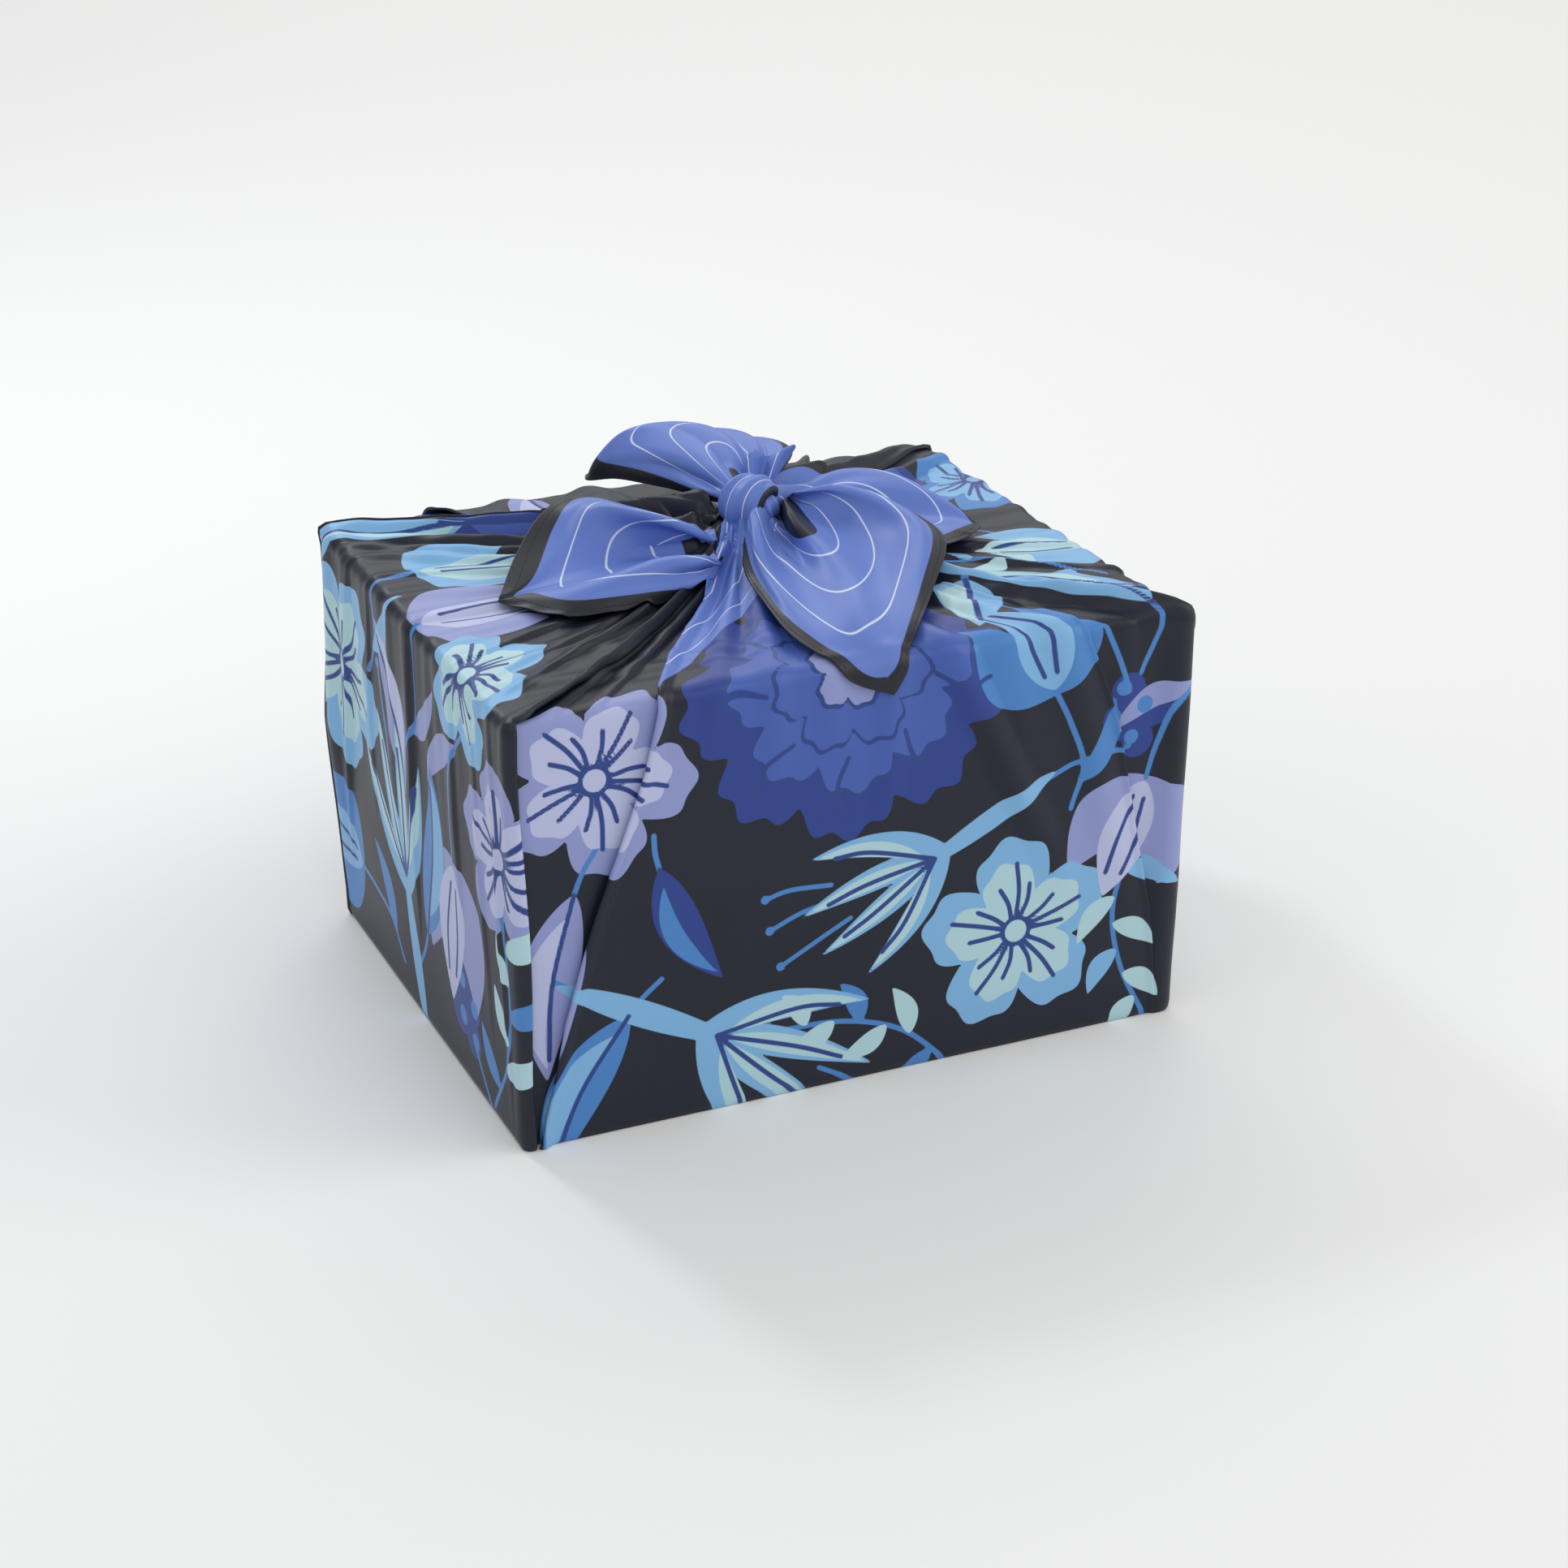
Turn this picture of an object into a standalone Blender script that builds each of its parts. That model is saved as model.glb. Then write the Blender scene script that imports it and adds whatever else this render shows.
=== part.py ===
"""A square satin cloth tied round the place of a gift box: one sheet, two knots and four free corners.

The cloth lies cornerwise under the box. Each corner comes up one side and across the top. The front and back
corners are tied together in the upper knot, and the left and right corners in the lower knot. The box itself
doesn't show, so its place is left hollow, and the gap beside the knots, between the left and back corners, is
its mouth.

Lengths in the tables are in millimetres. +Z is up, the front is -Y, and the origin is the middle of the base.
"""

import math
from collections import namedtuple

import bmesh
import bpy
import numpy as np
from mathutils import Matrix, Vector

MM = 0.001

# The wrapped block, measured outside the cloth. It is a little wider at the top than at the base.
HEIGHT = 178.0
HALF_LENGTH_BASE = 140.0
HALF_WIDTH_BASE = 112.7
HALF_LENGTH_TOP = 141.9
HALF_WIDTH_TOP = 113.8
EDGE_RADIUS = 4.5

CHARCOAL = (0.028, 0.031, 0.048, 1.0)
CORNER_BLUE = (0.11, 0.15, 0.46, 1.0)
SATIN_ROUGHNESS = 0.42

CLOTH = 2.2
TAIL_CLOTH = 1.8
GRID_PITCH = 8.0
GRID_PITCH_UP = 15.0
MOUTH_SEGMENTS = 20
TAIL_ROWS = 13
TAIL_COLUMNS = 15
TAIL_CLEARANCE = 1.4
KNOT_REACH = 22.0

# The rise towards the knots sets in between these upward parts of the surface's direction, and the cloth
# below BASE_FLAT lies flat on the surface.
TOP_NORMAL_LOW = 0.3
TOP_NORMAL_HIGH = 0.9
BASE_FLAT = 0.5

# How the gathered cloth rises towards the two knots, as a peak on a wide skirt.
TENT_PEAK = 15.0
TENT_RADIUS = 20.0
TENT_SKIRT = 5.0
TENT_SKIRT_RADIUS = 62.0
TENT_CENTRE = (3.0, 2.5)

# Above FREE_RISE the folds rise ever more slowly towards MOST_RISE, so that they stay below the knots.
FREE_RISE = 19.0
MOST_RISE = 26.0

# The mouth is the gap that the gathered cloth leaves beside the knots, between the left and the back corner.
MOUTH_CENTRE = (-18.0, 28.0)
MOUTH_HALF_SIZES = (5.0, 11.0)
MOUTH_TURN = 20.0
MOUTH_LOW = 158.0
MOUTH_HIGH = 214.0

Fold = namedtuple("Fold", "side at knot edge below half_width drop lean start", defaults=[(0.0, 0.0)])

# Soft ridges that run from the knots over a top edge and down a side. Each row gives the side, the place
# where the fold crosses the top edge, its height by the knot, at the edge and halfway down, its half width,
# how far down the side it runs, how far it drifts along the side on the way, and where it starts by the knots.
FOLDS = [
    Fold("front", -60.0, 3.0, 1.0, 0.5, 9.0, 30.0, 4.0),
    Fold("front", -36.0, 4.0, 1.5, 0.8, 10.0, 50.0, 2.0),
    Fold("front", -12.0, 4.0, 1.5, 0.8, 10.0, 45.0, 3.0),
    Fold("front", 14.0, 4.0, 2.0, 1.4, 10.0, 75.0, -3.0),
    Fold("front", 38.0, 3.0, 3.5, 3.0, 11.0, 120.0, 60.0),
    Fold("front", 62.0, 3.0, 1.5, 1.0, 12.0, 60.0, 16.0),
    Fold("front", 87.0, 3.0, 2.6, 2.2, 12.0, 150.0, 42.0),
    Fold("front", 114.0, 2.0, 1.0, 0.8, 10.0, 60.0, 8.0),
    Fold("left", -78.0, 3.0, 1.5, 1.6, 9.0, 150.0, -8.0),
    Fold("left", -52.0, 3.0, 2.0, 2.0, 12.0, 130.0, -4.0),
    Fold("left", -26.0, 3.0, 1.5, 1.4, 9.0, 100.0, 4.0),
    Fold("left", -6.0, 4.0, 3.0, 2.6, 13.0, 150.0, 10.0),
    Fold("left", 22.0, 3.0, 1.0, 1.2, 10.0, 120.0, 6.0),
    Fold("left", 48.0, 3.0, 1.2, 1.6, 12.0, 110.0, 8.0),
    Fold("left", 74.0, 4.0, 3.0, 3.0, 14.0, 160.0, 26.0),
    Fold("left", 104.0, 3.0, 2.0, 5.0, 13.0, 165.0, 4.0),
    Fold("right", -82.0, 3.0, 2.0, 2.4, 11.0, 130.0, -8.0),
    Fold("right", -45.0, 3.0, 1.8, 1.6, 10.0, 90.0, 0.0),
    Fold("right", -12.0, 3.0, 2.4, 2.2, 11.0, 130.0, -6.0),
    Fold("right", 24.0, 3.0, 1.8, 1.6, 10.0, 100.0, 4.0),
    Fold("right", 58.0, 3.0, 2.2, 2.4, 11.0, 120.0, 12.0),
    Fold("right", 92.0, 3.0, 1.6, 1.8, 10.0, 110.0, 8.0),
    Fold("back", -100.0, 3.0, 2.0, 2.2, 11.0, 130.0, -10.0),
    Fold("back", -62.0, 3.0, 1.8, 1.6, 11.0, 90.0, -4.0),
    Fold("back", -24.0, 4.0, 2.6, 2.4, 12.0, 130.0, 2.0),
    Fold("back", 18.0, 5.0, 2.0, 1.6, 11.0, 100.0, 4.0),
    Fold("back", 58.0, 6.0, 2.8, 2.4, 12.0, 120.0, 10.0),
    Fold("back", 98.0, 4.0, 1.6, 1.6, 11.0, 100.0, 10.0),
    Fold("left", 112.0, 22.0, 3.0, 0.0, 20.0, 12.0, 0.0, (-2.0, 20.0)),
    Fold("left", 88.0, 11.0, 2.0, 0.0, 14.0, 12.0, 0.0),
    Fold("back", 132.0, 20.0, 3.0, 0.0, 20.0, 12.0, 0.0, (16.0, 22.0)),
    Fold("right", 90.0, 12.0, 2.5, 0.0, 15.0, 12.0, 0.0, (14.0, 10.0)),
    Fold("front", -132.0, 2.0, 3.0, 1.5, 11.0, 50.0, 3.0),
    Fold("front", 132.0, 9.0, 3.5, 1.0, 14.0, 20.0, -2.0),
]

Lap = namedtuple("Lap", "side at raised_towards rise fade trough drop lean")

# Edges where one part of the cloth lies over the next. The raised part stands up by rise at the edge and
# fades back over a distance, and a trough runs along the lower part. The raised part is towards higher places
# along the side where raised_towards is 1. Both ends of an edge are eased over a share of its own points.
LAPS = [
    Lap("front", -82.0, 1, 4.0, 60.0, 1.2, 172.0, -52.0),
    Lap("back", 84.0, -1, 3.5, 60.0, 1.2, 172.0, 50.0),
]
LAP_EASE_AT_KNOT = 0.15
LAP_EASE_AT_END = 0.5
LAP_CREST_WIDTH = 2.0
LAP_TROUGH_WIDTH = 4.0

# The free corners of the cloth. Each line runs from the knot to the corner's point, and the lines of a tail
# follow one another from one hem to the other, over the crests and hollows between them.
TAILS = {
    "front_tail": {
        "near_hem": [
            (-8, -22, 197), (-15, -44, 192), (-17, -62, 189), (-19, -90, 186), (-15, -109, 183),
            (-4, -117, 173), (12, -118, 166),
        ],
        "tongue": [
            (-2, -18, 210), (-8, -36, 203), (-10, -51, 196), (-11, -76, 191), (-9, -103, 185),
            (-1, -117, 175), (12, -118, 166),
        ],
        "groove": [
            (17, 2, 201), (12, -15, 197), (9, -30, 193), (4, -64, 190), (0, -98, 187), (3, -116, 177),
            (12, -118, 166),
        ],
        "rim": [
            (16, -7, 208), (15, -24, 203), (18, -38, 199), (19, -63, 194), (11, -92, 190),
            (8, -114, 181), (12, -118, 166),
        ],
        "pocket": [
            (24, 8, 203), (34, 0, 198), (43, -13, 194), (45, -39, 191), (28, -82, 189), (16, -112, 181),
            (12, -118, 166),
        ],
        "far_ridge": [
            (24, 0, 208), (45, 0, 206), (57, -16, 204), (60, -40, 200), (43, -75, 192), (23, -108, 183),
            (12, -118, 166),
        ],
        "far_hem": [
            (30, 12, 204), (58, 13, 199), (73, -5, 195), (75, -36, 192), (50, -76, 189), (27, -107, 184),
            (12, -118, 166),
        ],
    },
    "left_tail": {
        "near_hem": [
            (-17, -22, 188), (-32, -34, 185), (-49, -39, 185), (-68, -40, 185), (-87, -36, 184),
            (-98, -22, 183), (-106, -6, 182),
        ],
        "near_ridge": [
            (-20, -26, 193), (-33, -31, 193), (-46, -28, 191), (-64, -28, 189), (-83, -24, 187),
            (-95, -15, 185), (-106, -6, 182),
        ],
        "pocket": [
            (-16, -9, 190), (-24, -1, 188), (-37, 6, 187), (-56, 3, 186), (-76, -2, 185), (-94, -5, 184),
            (-106, -6, 182),
        ],
        "far_ridge": [
            (-14, -10, 195), (-26, -4, 203), (-38, 12, 206), (-49, 30, 203), (-68, 28, 195),
            (-90, 8, 187), (-106, -6, 182),
        ],
        "far_hem": [
            (-12, -1, 193), (-27, 20, 193), (-38, 52, 192), (-48, 69, 191), (-67, 49, 188),
            (-88, 21, 184), (-106, -6, 182),
        ],
    },
    "back_tail": {
        "near_hem": [
            (-2, 8, 204), (-8, 22, 203), (-14, 36, 203), (-22, 48, 203), (-31, 59, 203), (-40, 67, 201),
            (-38, 76, 200),
        ],
        "near_ridge": [
            (0, 11, 210), (-6, 28, 213), (-13, 42, 215), (-21, 53, 215), (-31, 61, 213), (-37, 66, 210),
            (-30, 78, 203),
        ],
        "far_ridge": [
            (5, 13, 212), (4, 34, 219), (0, 52, 222), (-8, 62, 223), (-18, 66, 222), (-26, 68, 218),
            (-20, 82, 206),
        ],
        "back_slope": [
            (11, 13, 211), (20, 34, 217), (20, 54, 218), (10, 70, 216), (-4, 78, 212), (-14, 82, 208),
            (-16, 86, 203),
        ],
        "far_hem": [
            (15, 10, 207), (40, 38, 210), (42, 58, 209), (28, 76, 205), (8, 88, 202), (-6, 90, 201),
            (-14, 88, 200),
        ],
    },
    "right_tail": {
        "near_hem": [
            (8, -10, 192), (26, -19, 187), (50, -27, 185), (68, -28, 185), (84, -24, 185),
            (96, -17, 184), (106, -8, 183),
        ],
        "near_ridge": [
            (10, -6, 194), (30, -9, 188), (52, -10, 187), (72, -10, 187), (87, -10, 187), (98, -9, 185),
            (106, -8, 183),
        ],
        "pocket": [
            (12, 0, 193), (34, 8, 189), (58, 14, 187), (78, 10, 186), (92, 4, 186), (101, -2, 185),
            (106, -8, 183),
        ],
        "far_ridge": [
            (12, 4, 194), (38, 24, 197), (64, 36, 199), (84, 32, 197), (96, 18, 192), (103, 4, 187),
            (106, -8, 183),
        ],
        "far_hem": [
            (10, 10, 193), (32, 38, 192), (60, 60, 190), (84, 51, 189), (97, 32, 187), (104, 10, 185),
            (106, -8, 183),
        ],
    },
    "knot_loop": {
        "left_low": [(11, 12, 204), (9, 14, 210), (8, 16, 215), (10, 18, 218)],
        "left_crest": [(12, 10, 205), (10, 12, 213), (12, 15, 220), (14, 18, 221)],
        "valley": [(14, 11, 204), (16, 14, 210), (18, 17, 215), (21, 19, 218)],
        "right_crest": [(15, 9, 205), (19, 11, 213), (25, 14, 220), (31, 17, 221)],
        "right_low": [(16, 11, 203), (21, 14, 208), (26, 17, 213), (33, 19, 219)],
    },
}

Heart = namedtuple("Heart", "name centre half_sizes")
Band = namedtuple("Band", "name centre axis radius half_width thickness heavy_side lopsided")

# Each knot is packed cloth with a turn of gathered cloth round it, thicker towards its heavy side.
KNOT_HEARTS = [
    Heart("lower_heart", (-6.0, -8.0, 187.0), (13.0, 10.0, 8.0)),
    Heart("stem", (4.0, 1.0, 193.0), (14.0, 14.0, 12.0)),
    Heart("upper_heart", (8.0, 2.0, 204.0), (9.0, 11.0, 8.5)),
    Heart("loop_root", (12.0, 10.5, 206.5), (4.5, 4.5, 4.5)),
]
KNOT_BANDS = [
    Band("lower_band", (-4.0, -9.0, 189.0), (0.75, 0.6, 0.25), 6.0, 6.0, 3.4, 0.0, 0.0),
    Band("upper_band", (6.0, 1.0, 205.5), (0.5, -0.82, -0.28), 8.6, 7.6, 4.0, 180.0, 0.35),
    Band("side_band", (12.6, 9.4, 205.4), (0.9, 0.25, 0.2), 6.6, 5.0, 2.8, 0.0, 0.0),
]
HEART_SEGMENTS = 16
HEART_RINGS = 10
BAND_SEGMENTS = 24
BAND_CROSS_SEGMENTS = 8


def clear_scene():
    """Remove whatever the scene starts with."""
    for old in list(bpy.data.objects):
        bpy.data.objects.remove(old, do_unlink=True)


def new_collection(name):
    """A collection of the scene."""
    collection = bpy.data.collections.new(name)
    bpy.context.scene.collection.children.link(collection)
    return collection


def satin(name, colour, roughness):
    """A smooth woven finish."""
    material = bpy.data.materials.new(name)
    material.use_nodes = True
    shader = material.node_tree.nodes["Principled BSDF"]
    shader.inputs["Base Color"].default_value = colour
    shader.inputs["Roughness"].default_value = roughness
    shader.inputs["Metallic"].default_value = 0.0
    return material


def smooth_step(value):
    """From 0 to 1 with a flat start and end."""
    value = np.clip(value, 0.0, 1.0)
    return value * value * (3.0 - 2.0 * value)


def half_sizes(z):
    """Half length and half width of the wrapped block at a height."""
    share = np.clip(z / HEIGHT, 0.0, 1.0)
    length = HALF_LENGTH_BASE + (HALF_LENGTH_TOP - HALF_LENGTH_BASE) * share
    width = HALF_WIDTH_BASE + (HALF_WIDTH_TOP - HALF_WIDTH_BASE) * share
    return length, width


def side_point(side, at, z):
    """The point of a side at a place along it and a height."""
    length, width = half_sizes(z)
    if side == "front":
        return (at, -width, z)
    if side == "back":
        return (at, width, z)
    if side == "left":
        return (-length, at, z)
    return (length, at, z)


def fold_path(side, at, drop, lean, start=(0.0, 0.0)):
    """The line of a fold: from the knots over the top edge and down the side, with a point halfway down."""
    edge = side_point(side, at, HEIGHT)
    middle = side_point(side, at + 0.5 * lean, HEIGHT - 0.5 * drop)
    end = side_point(side, at + lean, HEIGHT - drop)
    return np.array([(*start, HEIGHT), edge, middle, end])


def nearest_on_path(points, path, normals):
    """Distance to a path, place along it counted in its own points, and the side of it that a point is on."""
    best = np.full(len(points), 1e9)
    along = np.zeros(len(points))
    towards = np.zeros(len(points))
    for index in range(len(path) - 1):
        run = path[index + 1] - path[index]
        place = np.clip((points - path[index]) @ run / (run @ run), 0.0, 1.0)
        offset = points - (path[index] + place[:, None] * run)
        distance = np.linalg.norm(offset, axis=1)
        side = np.sign(np.einsum("ij,ij->i", np.cross(normals, run), offset))
        nearer = distance < best
        best = np.where(nearer, distance, best)
        along = np.where(nearer, index + place, along)
        towards = np.where(nearer, side, towards)
    return best, along, towards


def fold_relief(points, normals):
    """How far the folds and laps lift the cloth at points of the plain block."""
    relief = np.zeros(len(points))
    for fold in FOLDS:
        path = fold_path(fold.side, fold.at, fold.drop, fold.lean, fold.start)
        distance, along, _ = nearest_on_path(points, path, normals)
        height = np.interp(along, [0.0, 1.0, 2.0, 3.0], [fold.knot, fold.edge, fold.below, 0.0])
        bump = 0.5 + 0.5 * np.cos(math.pi * np.clip(distance / fold.half_width, 0.0, 1.0))
        relief = np.maximum(relief, height * bump)
    for lap in LAPS:
        path = fold_path(lap.side, lap.at, lap.drop, lap.lean)
        distance, along, towards = nearest_on_path(points, path, normals)
        last = len(path) - 1
        ends = smooth_step(along / LAP_EASE_AT_KNOT) * smooth_step((last - along) / LAP_EASE_AT_END)
        over = towards * lap.raised_towards * (1 if lap.side == "front" else -1) > 0
        raised = lap.rise * np.exp(-distance / lap.fade) * smooth_step(distance / LAP_CREST_WIDTH)
        lowered = -lap.trough * np.exp(-((distance - LAP_CREST_WIDTH) / LAP_TROUGH_WIDTH) ** 2)
        relief = relief + ends * np.where(over, raised, lowered)
    return relief


def tent(x, y):
    """How far the gathered cloth rises towards the knots on the top."""
    radius = np.hypot(x - TENT_CENTRE[0], y - TENT_CENTRE[1])
    peak = TENT_PEAK * np.exp(-((radius / TENT_RADIUS) ** 2))
    return peak + TENT_SKIRT * np.exp(-((radius / TENT_SKIRT_RADIUS) ** 2))


def capped(rise):
    """The rise, kept below that of the knots."""
    room = MOST_RISE - FREE_RISE
    over = np.maximum(rise - FREE_RISE, 0.0)
    return np.minimum(rise, FREE_RISE) + room * np.tanh(over / room)


def drape(points):
    """Move points of the plain block to where the cloth lies."""
    length, width = half_sizes(points[:, 2])
    inner_length = length - EDGE_RADIUS
    inner_width = width - EDGE_RADIUS
    lowest = np.full(len(points), EDGE_RADIUS)
    highest = np.full(len(points), HEIGHT - EDGE_RADIUS)
    inner_low = np.stack([-inner_length, -inner_width, lowest], axis=1)
    inner_high = np.stack([inner_length, inner_width, highest], axis=1)
    core = np.clip(points, inner_low, inner_high)
    out = points - core
    normals = out / np.maximum(np.linalg.norm(out, axis=1), 1e-9)[:, None]
    surface = core + EDGE_RADIUS * normals
    on_top = smooth_step((normals[:, 2] - TOP_NORMAL_LOW) / (TOP_NORMAL_HIGH - TOP_NORMAL_LOW))
    lift = capped(fold_relief(points, normals) + on_top * tent(points[:, 0], points[:, 1]))
    lift = np.where(points[:, 2] < BASE_FLAT, 0.0, lift)
    placed = surface + lift[:, None] * normals
    placed[:, 2] = np.maximum(placed[:, 2], 0.0)
    return placed


def top_height(x, y):
    """Height of the cloth on top of the block."""
    flat = np.stack([x, y, np.full(len(x), HEIGHT)], axis=1)
    up = np.tile((0.0, 0.0, 1.0), (len(x), 1))
    return HEIGHT + capped(fold_relief(flat, up) + tent(x, y))


def stations(half, pitch):
    """Places of the grid lines between the two rounded edges."""
    inside = half - EDGE_RADIUS
    count = round(2 * inside / pitch)
    return np.linspace(-inside, inside, count + 1)


def add_mesh(name, bm, collection, material):
    """An object made from a bmesh, which is used up."""
    mesh = bpy.data.meshes.new(name)
    bmesh.ops.recalc_face_normals(bm, faces=bm.faces)
    bm.to_mesh(mesh)
    bm.free()
    mesh.materials.append(material)
    obj = bpy.data.objects.new(name, mesh)
    collection.objects.link(obj)
    return obj


def slice_grid(bm, axis, places):
    """Cut the mesh with planes across an axis."""
    normal = [0.0, 0.0, 0.0]
    normal[axis] = 1.0
    for place in places:
        point = [0.0, 0.0, 0.0]
        point[axis] = place
        everything = bm.verts[:] + bm.edges[:] + bm.faces[:]
        bmesh.ops.bisect_plane(bm, geom=everything, plane_co=point, plane_no=normal, dist=1e-6)


def wrap_body(collection, material):
    """The wrapped block: a cube cut into a grid and draped."""
    bm = bmesh.new()
    bmesh.ops.create_cube(bm, size=2.0)
    bmesh.ops.scale(bm, vec=(HALF_LENGTH_TOP, HALF_WIDTH_TOP, HEIGHT / 2), verts=bm.verts)
    bmesh.ops.translate(bm, vec=(0.0, 0.0, HEIGHT / 2), verts=bm.verts)
    slice_grid(bm, 0, stations(HALF_LENGTH_TOP, GRID_PITCH))
    slice_grid(bm, 1, stations(HALF_WIDTH_TOP, GRID_PITCH))
    slice_grid(bm, 2, stations(HEIGHT / 2, GRID_PITCH_UP) + HEIGHT / 2)
    plain = np.array([vert.co for vert in bm.verts])
    length, width = half_sizes(plain[:, 2])
    plain[:, 0] *= length / HALF_LENGTH_TOP
    plain[:, 1] *= width / HALF_WIDTH_TOP
    for vert, place in zip(bm.verts, drape(plain)):
        vert.co = Vector(place * MM)
    under = [face for face in bm.faces if all(vert.co.z < 1e-6 for vert in face.verts)]
    around = {edge for face in under for edge in face.edges}
    inside = [edge for edge in around if all(face in under for face in edge.link_faces)]
    bmesh.ops.dissolve_edges(bm, edges=inside, use_verts=True)
    bmesh.ops.triangulate(bm, faces=bm.faces)
    return add_mesh("furoshiki_wrap", bm, collection, material)


def box_cutter(name, low, high, collection, material):
    """A box between two corners."""
    bm = bmesh.new()
    bmesh.ops.create_cube(bm, size=1.0)
    middle = (Vector(low) + Vector(high)) / 2
    bmesh.ops.scale(bm, vec=Vector(high) - Vector(low), verts=bm.verts)
    bmesh.ops.translate(bm, vec=middle, verts=bm.verts)
    bmesh.ops.scale(bm, vec=(MM, MM, MM), verts=bm.verts)
    return add_mesh(name, bm, collection, material)


def contents_cutter(collection, material):
    """The place of the wrapped box, which tapers as the cloth does."""
    low = (-HALF_LENGTH_TOP + CLOTH, -HALF_WIDTH_TOP + CLOTH, CLOTH)
    high = (HALF_LENGTH_TOP - CLOTH, HALF_WIDTH_TOP - CLOTH, HEIGHT - CLOTH)
    cutter = box_cutter("contents_place", low, high, collection, material)
    for vert in cutter.data.vertices:
        length, width = half_sizes(np.array([vert.co.z / MM]))
        vert.co.x = math.copysign((length[0] - CLOTH) * MM, vert.co.x)
        vert.co.y = math.copysign((width[0] - CLOTH) * MM, vert.co.y)
    return cutter


def mouth_cutter(collection, material):
    """The long round hole beside the knots."""
    bm = bmesh.new()
    depth = MOUTH_HIGH - MOUTH_LOW
    bmesh.ops.create_cone(bm, segments=MOUTH_SEGMENTS, radius1=1.0, radius2=1.0, depth=depth, cap_ends=True)
    bmesh.ops.scale(bm, vec=(*MOUTH_HALF_SIZES, 1.0), verts=bm.verts)
    bmesh.ops.rotate(bm, matrix=Matrix.Rotation(math.radians(MOUTH_TURN), 3, "Z"), verts=bm.verts)
    bmesh.ops.translate(bm, vec=(*MOUTH_CENTRE, (MOUTH_LOW + MOUTH_HIGH) / 2), verts=bm.verts)
    bmesh.ops.scale(bm, vec=(MM, MM, MM), verts=bm.verts)
    return add_mesh("mouth_place", bm, collection, material)


def curve_through(points, share):
    """Places on a smooth curve through evenly counted points."""
    points = np.asarray(points, float)
    last = len(points) - 1
    padded = np.vstack([2 * points[0] - points[1], points, 2 * points[-1] - points[-2]])
    scaled = np.clip(share * last, 0.0, last - 1e-9)
    index = scaled.astype(int)
    part = (scaled - index)[:, None]
    before, start, end, after = (padded[index + step] for step in range(4))
    return 0.5 * (
        2 * start
        + (end - before) * part
        + (2 * before - 5 * start + 4 * end - after) * part**2
        + (3 * start - before - 3 * end + after) * part**3
    )


def tail_grid(lines):
    """Rows of points from the knot to the corner, each from hem to hem."""
    down = np.linspace(0.0, 1.0, TAIL_ROWS)
    across = np.linspace(0.0, 1.0, TAIL_COLUMNS)
    guides = np.array([curve_through(line, down) for line in lines])
    grid = np.array([curve_through(guides[:, row], across) for row in range(TAIL_ROWS)])
    flat = grid.reshape(-1, 3)
    length, width = half_sizes(flat[:, 2])
    inside = (np.abs(flat[:, 0]) < length) & (np.abs(flat[:, 1]) < width)
    floor = top_height(flat[:, 0], flat[:, 1]) + TAIL_CLEARANCE + TAIL_CLOTH / 2
    near_knot = np.hypot(flat[:, 0], flat[:, 1]) < KNOT_REACH
    flat[:, 2] = np.where(inside & ~near_knot, np.maximum(flat[:, 2], floor), flat[:, 2])
    return grid


def tail_sheet(name, lines, collection, material):
    """One free corner of the cloth, lofted over its lines."""
    grid = tail_grid(list(lines.values()))
    bm = bmesh.new()
    rows = [[bm.verts.new(Vector(place * MM)) for place in row] for row in grid[:-1]]
    point = bm.verts.new(Vector(grid[-1][0] * MM))
    for upper, lower in zip(rows, rows[1:]):
        for column in range(TAIL_COLUMNS - 1):
            bm.faces.new((upper[column], upper[column + 1], lower[column + 1], lower[column]))
    for column in range(TAIL_COLUMNS - 1):
        bm.faces.new((rows[-1][column], rows[-1][column + 1], point))
    sheet = add_mesh(name, bm, collection, material)
    thicken = sheet.modifiers.new("cloth thickness", "SOLIDIFY")
    thicken.thickness = TAIL_CLOTH * MM
    thicken.offset = 0.0
    return sheet


def knot_heart(heart, collection, material):
    """The packed cloth inside a knot, as an oval ball."""
    bm = bmesh.new()
    bmesh.ops.create_uvsphere(bm, u_segments=HEART_SEGMENTS, v_segments=HEART_RINGS, radius=1.0)
    bmesh.ops.scale(bm, vec=Vector(heart.half_sizes) * MM, verts=bm.verts)
    bmesh.ops.translate(bm, vec=Vector(heart.centre) * MM, verts=bm.verts)
    return add_mesh(heart.name, bm, collection, material)


def knot_band(band, collection, material):
    """A turn of gathered cloth round a knot: a flattened ring, made from a torus about its axis."""
    bpy.ops.mesh.primitive_torus_add(
        major_radius=1.0, major_segments=BAND_SEGMENTS, minor_segments=BAND_CROSS_SEGMENTS
    )
    ring = bpy.context.object
    ring.name = band.name
    for vert in ring.data.vertices:
        turn = math.atan2(vert.co.y, vert.co.x)
        cross = math.atan2(vert.co.z, math.hypot(vert.co.x, vert.co.y) - 1.0)
        heavy = 1.0 + band.lopsided * math.cos(turn - math.radians(band.heavy_side))
        reach = band.radius + band.thickness * heavy * math.cos(cross)
        side = band.half_width * heavy * math.sin(cross)
        vert.co = Vector((reach * math.cos(turn), reach * math.sin(turn), side)) * MM
    ring.rotation_euler = Vector(band.axis).to_track_quat("Z", "Y").to_euler()
    ring.location = Vector(band.centre) * MM
    ring.data.materials.append(material)
    for owner in list(ring.users_collection):
        owner.objects.unlink(ring)
    collection.objects.link(ring)
    return ring


def combine(target, other, operation, solver="EXACT"):
    """Join or cut with a helper object, which the render leaves out."""
    other.hide_render = True
    other.display_type = "WIRE"
    step = target.modifiers.new(other.name, "BOOLEAN")
    step.operation = operation
    step.solver = solver
    step.object = other


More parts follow.
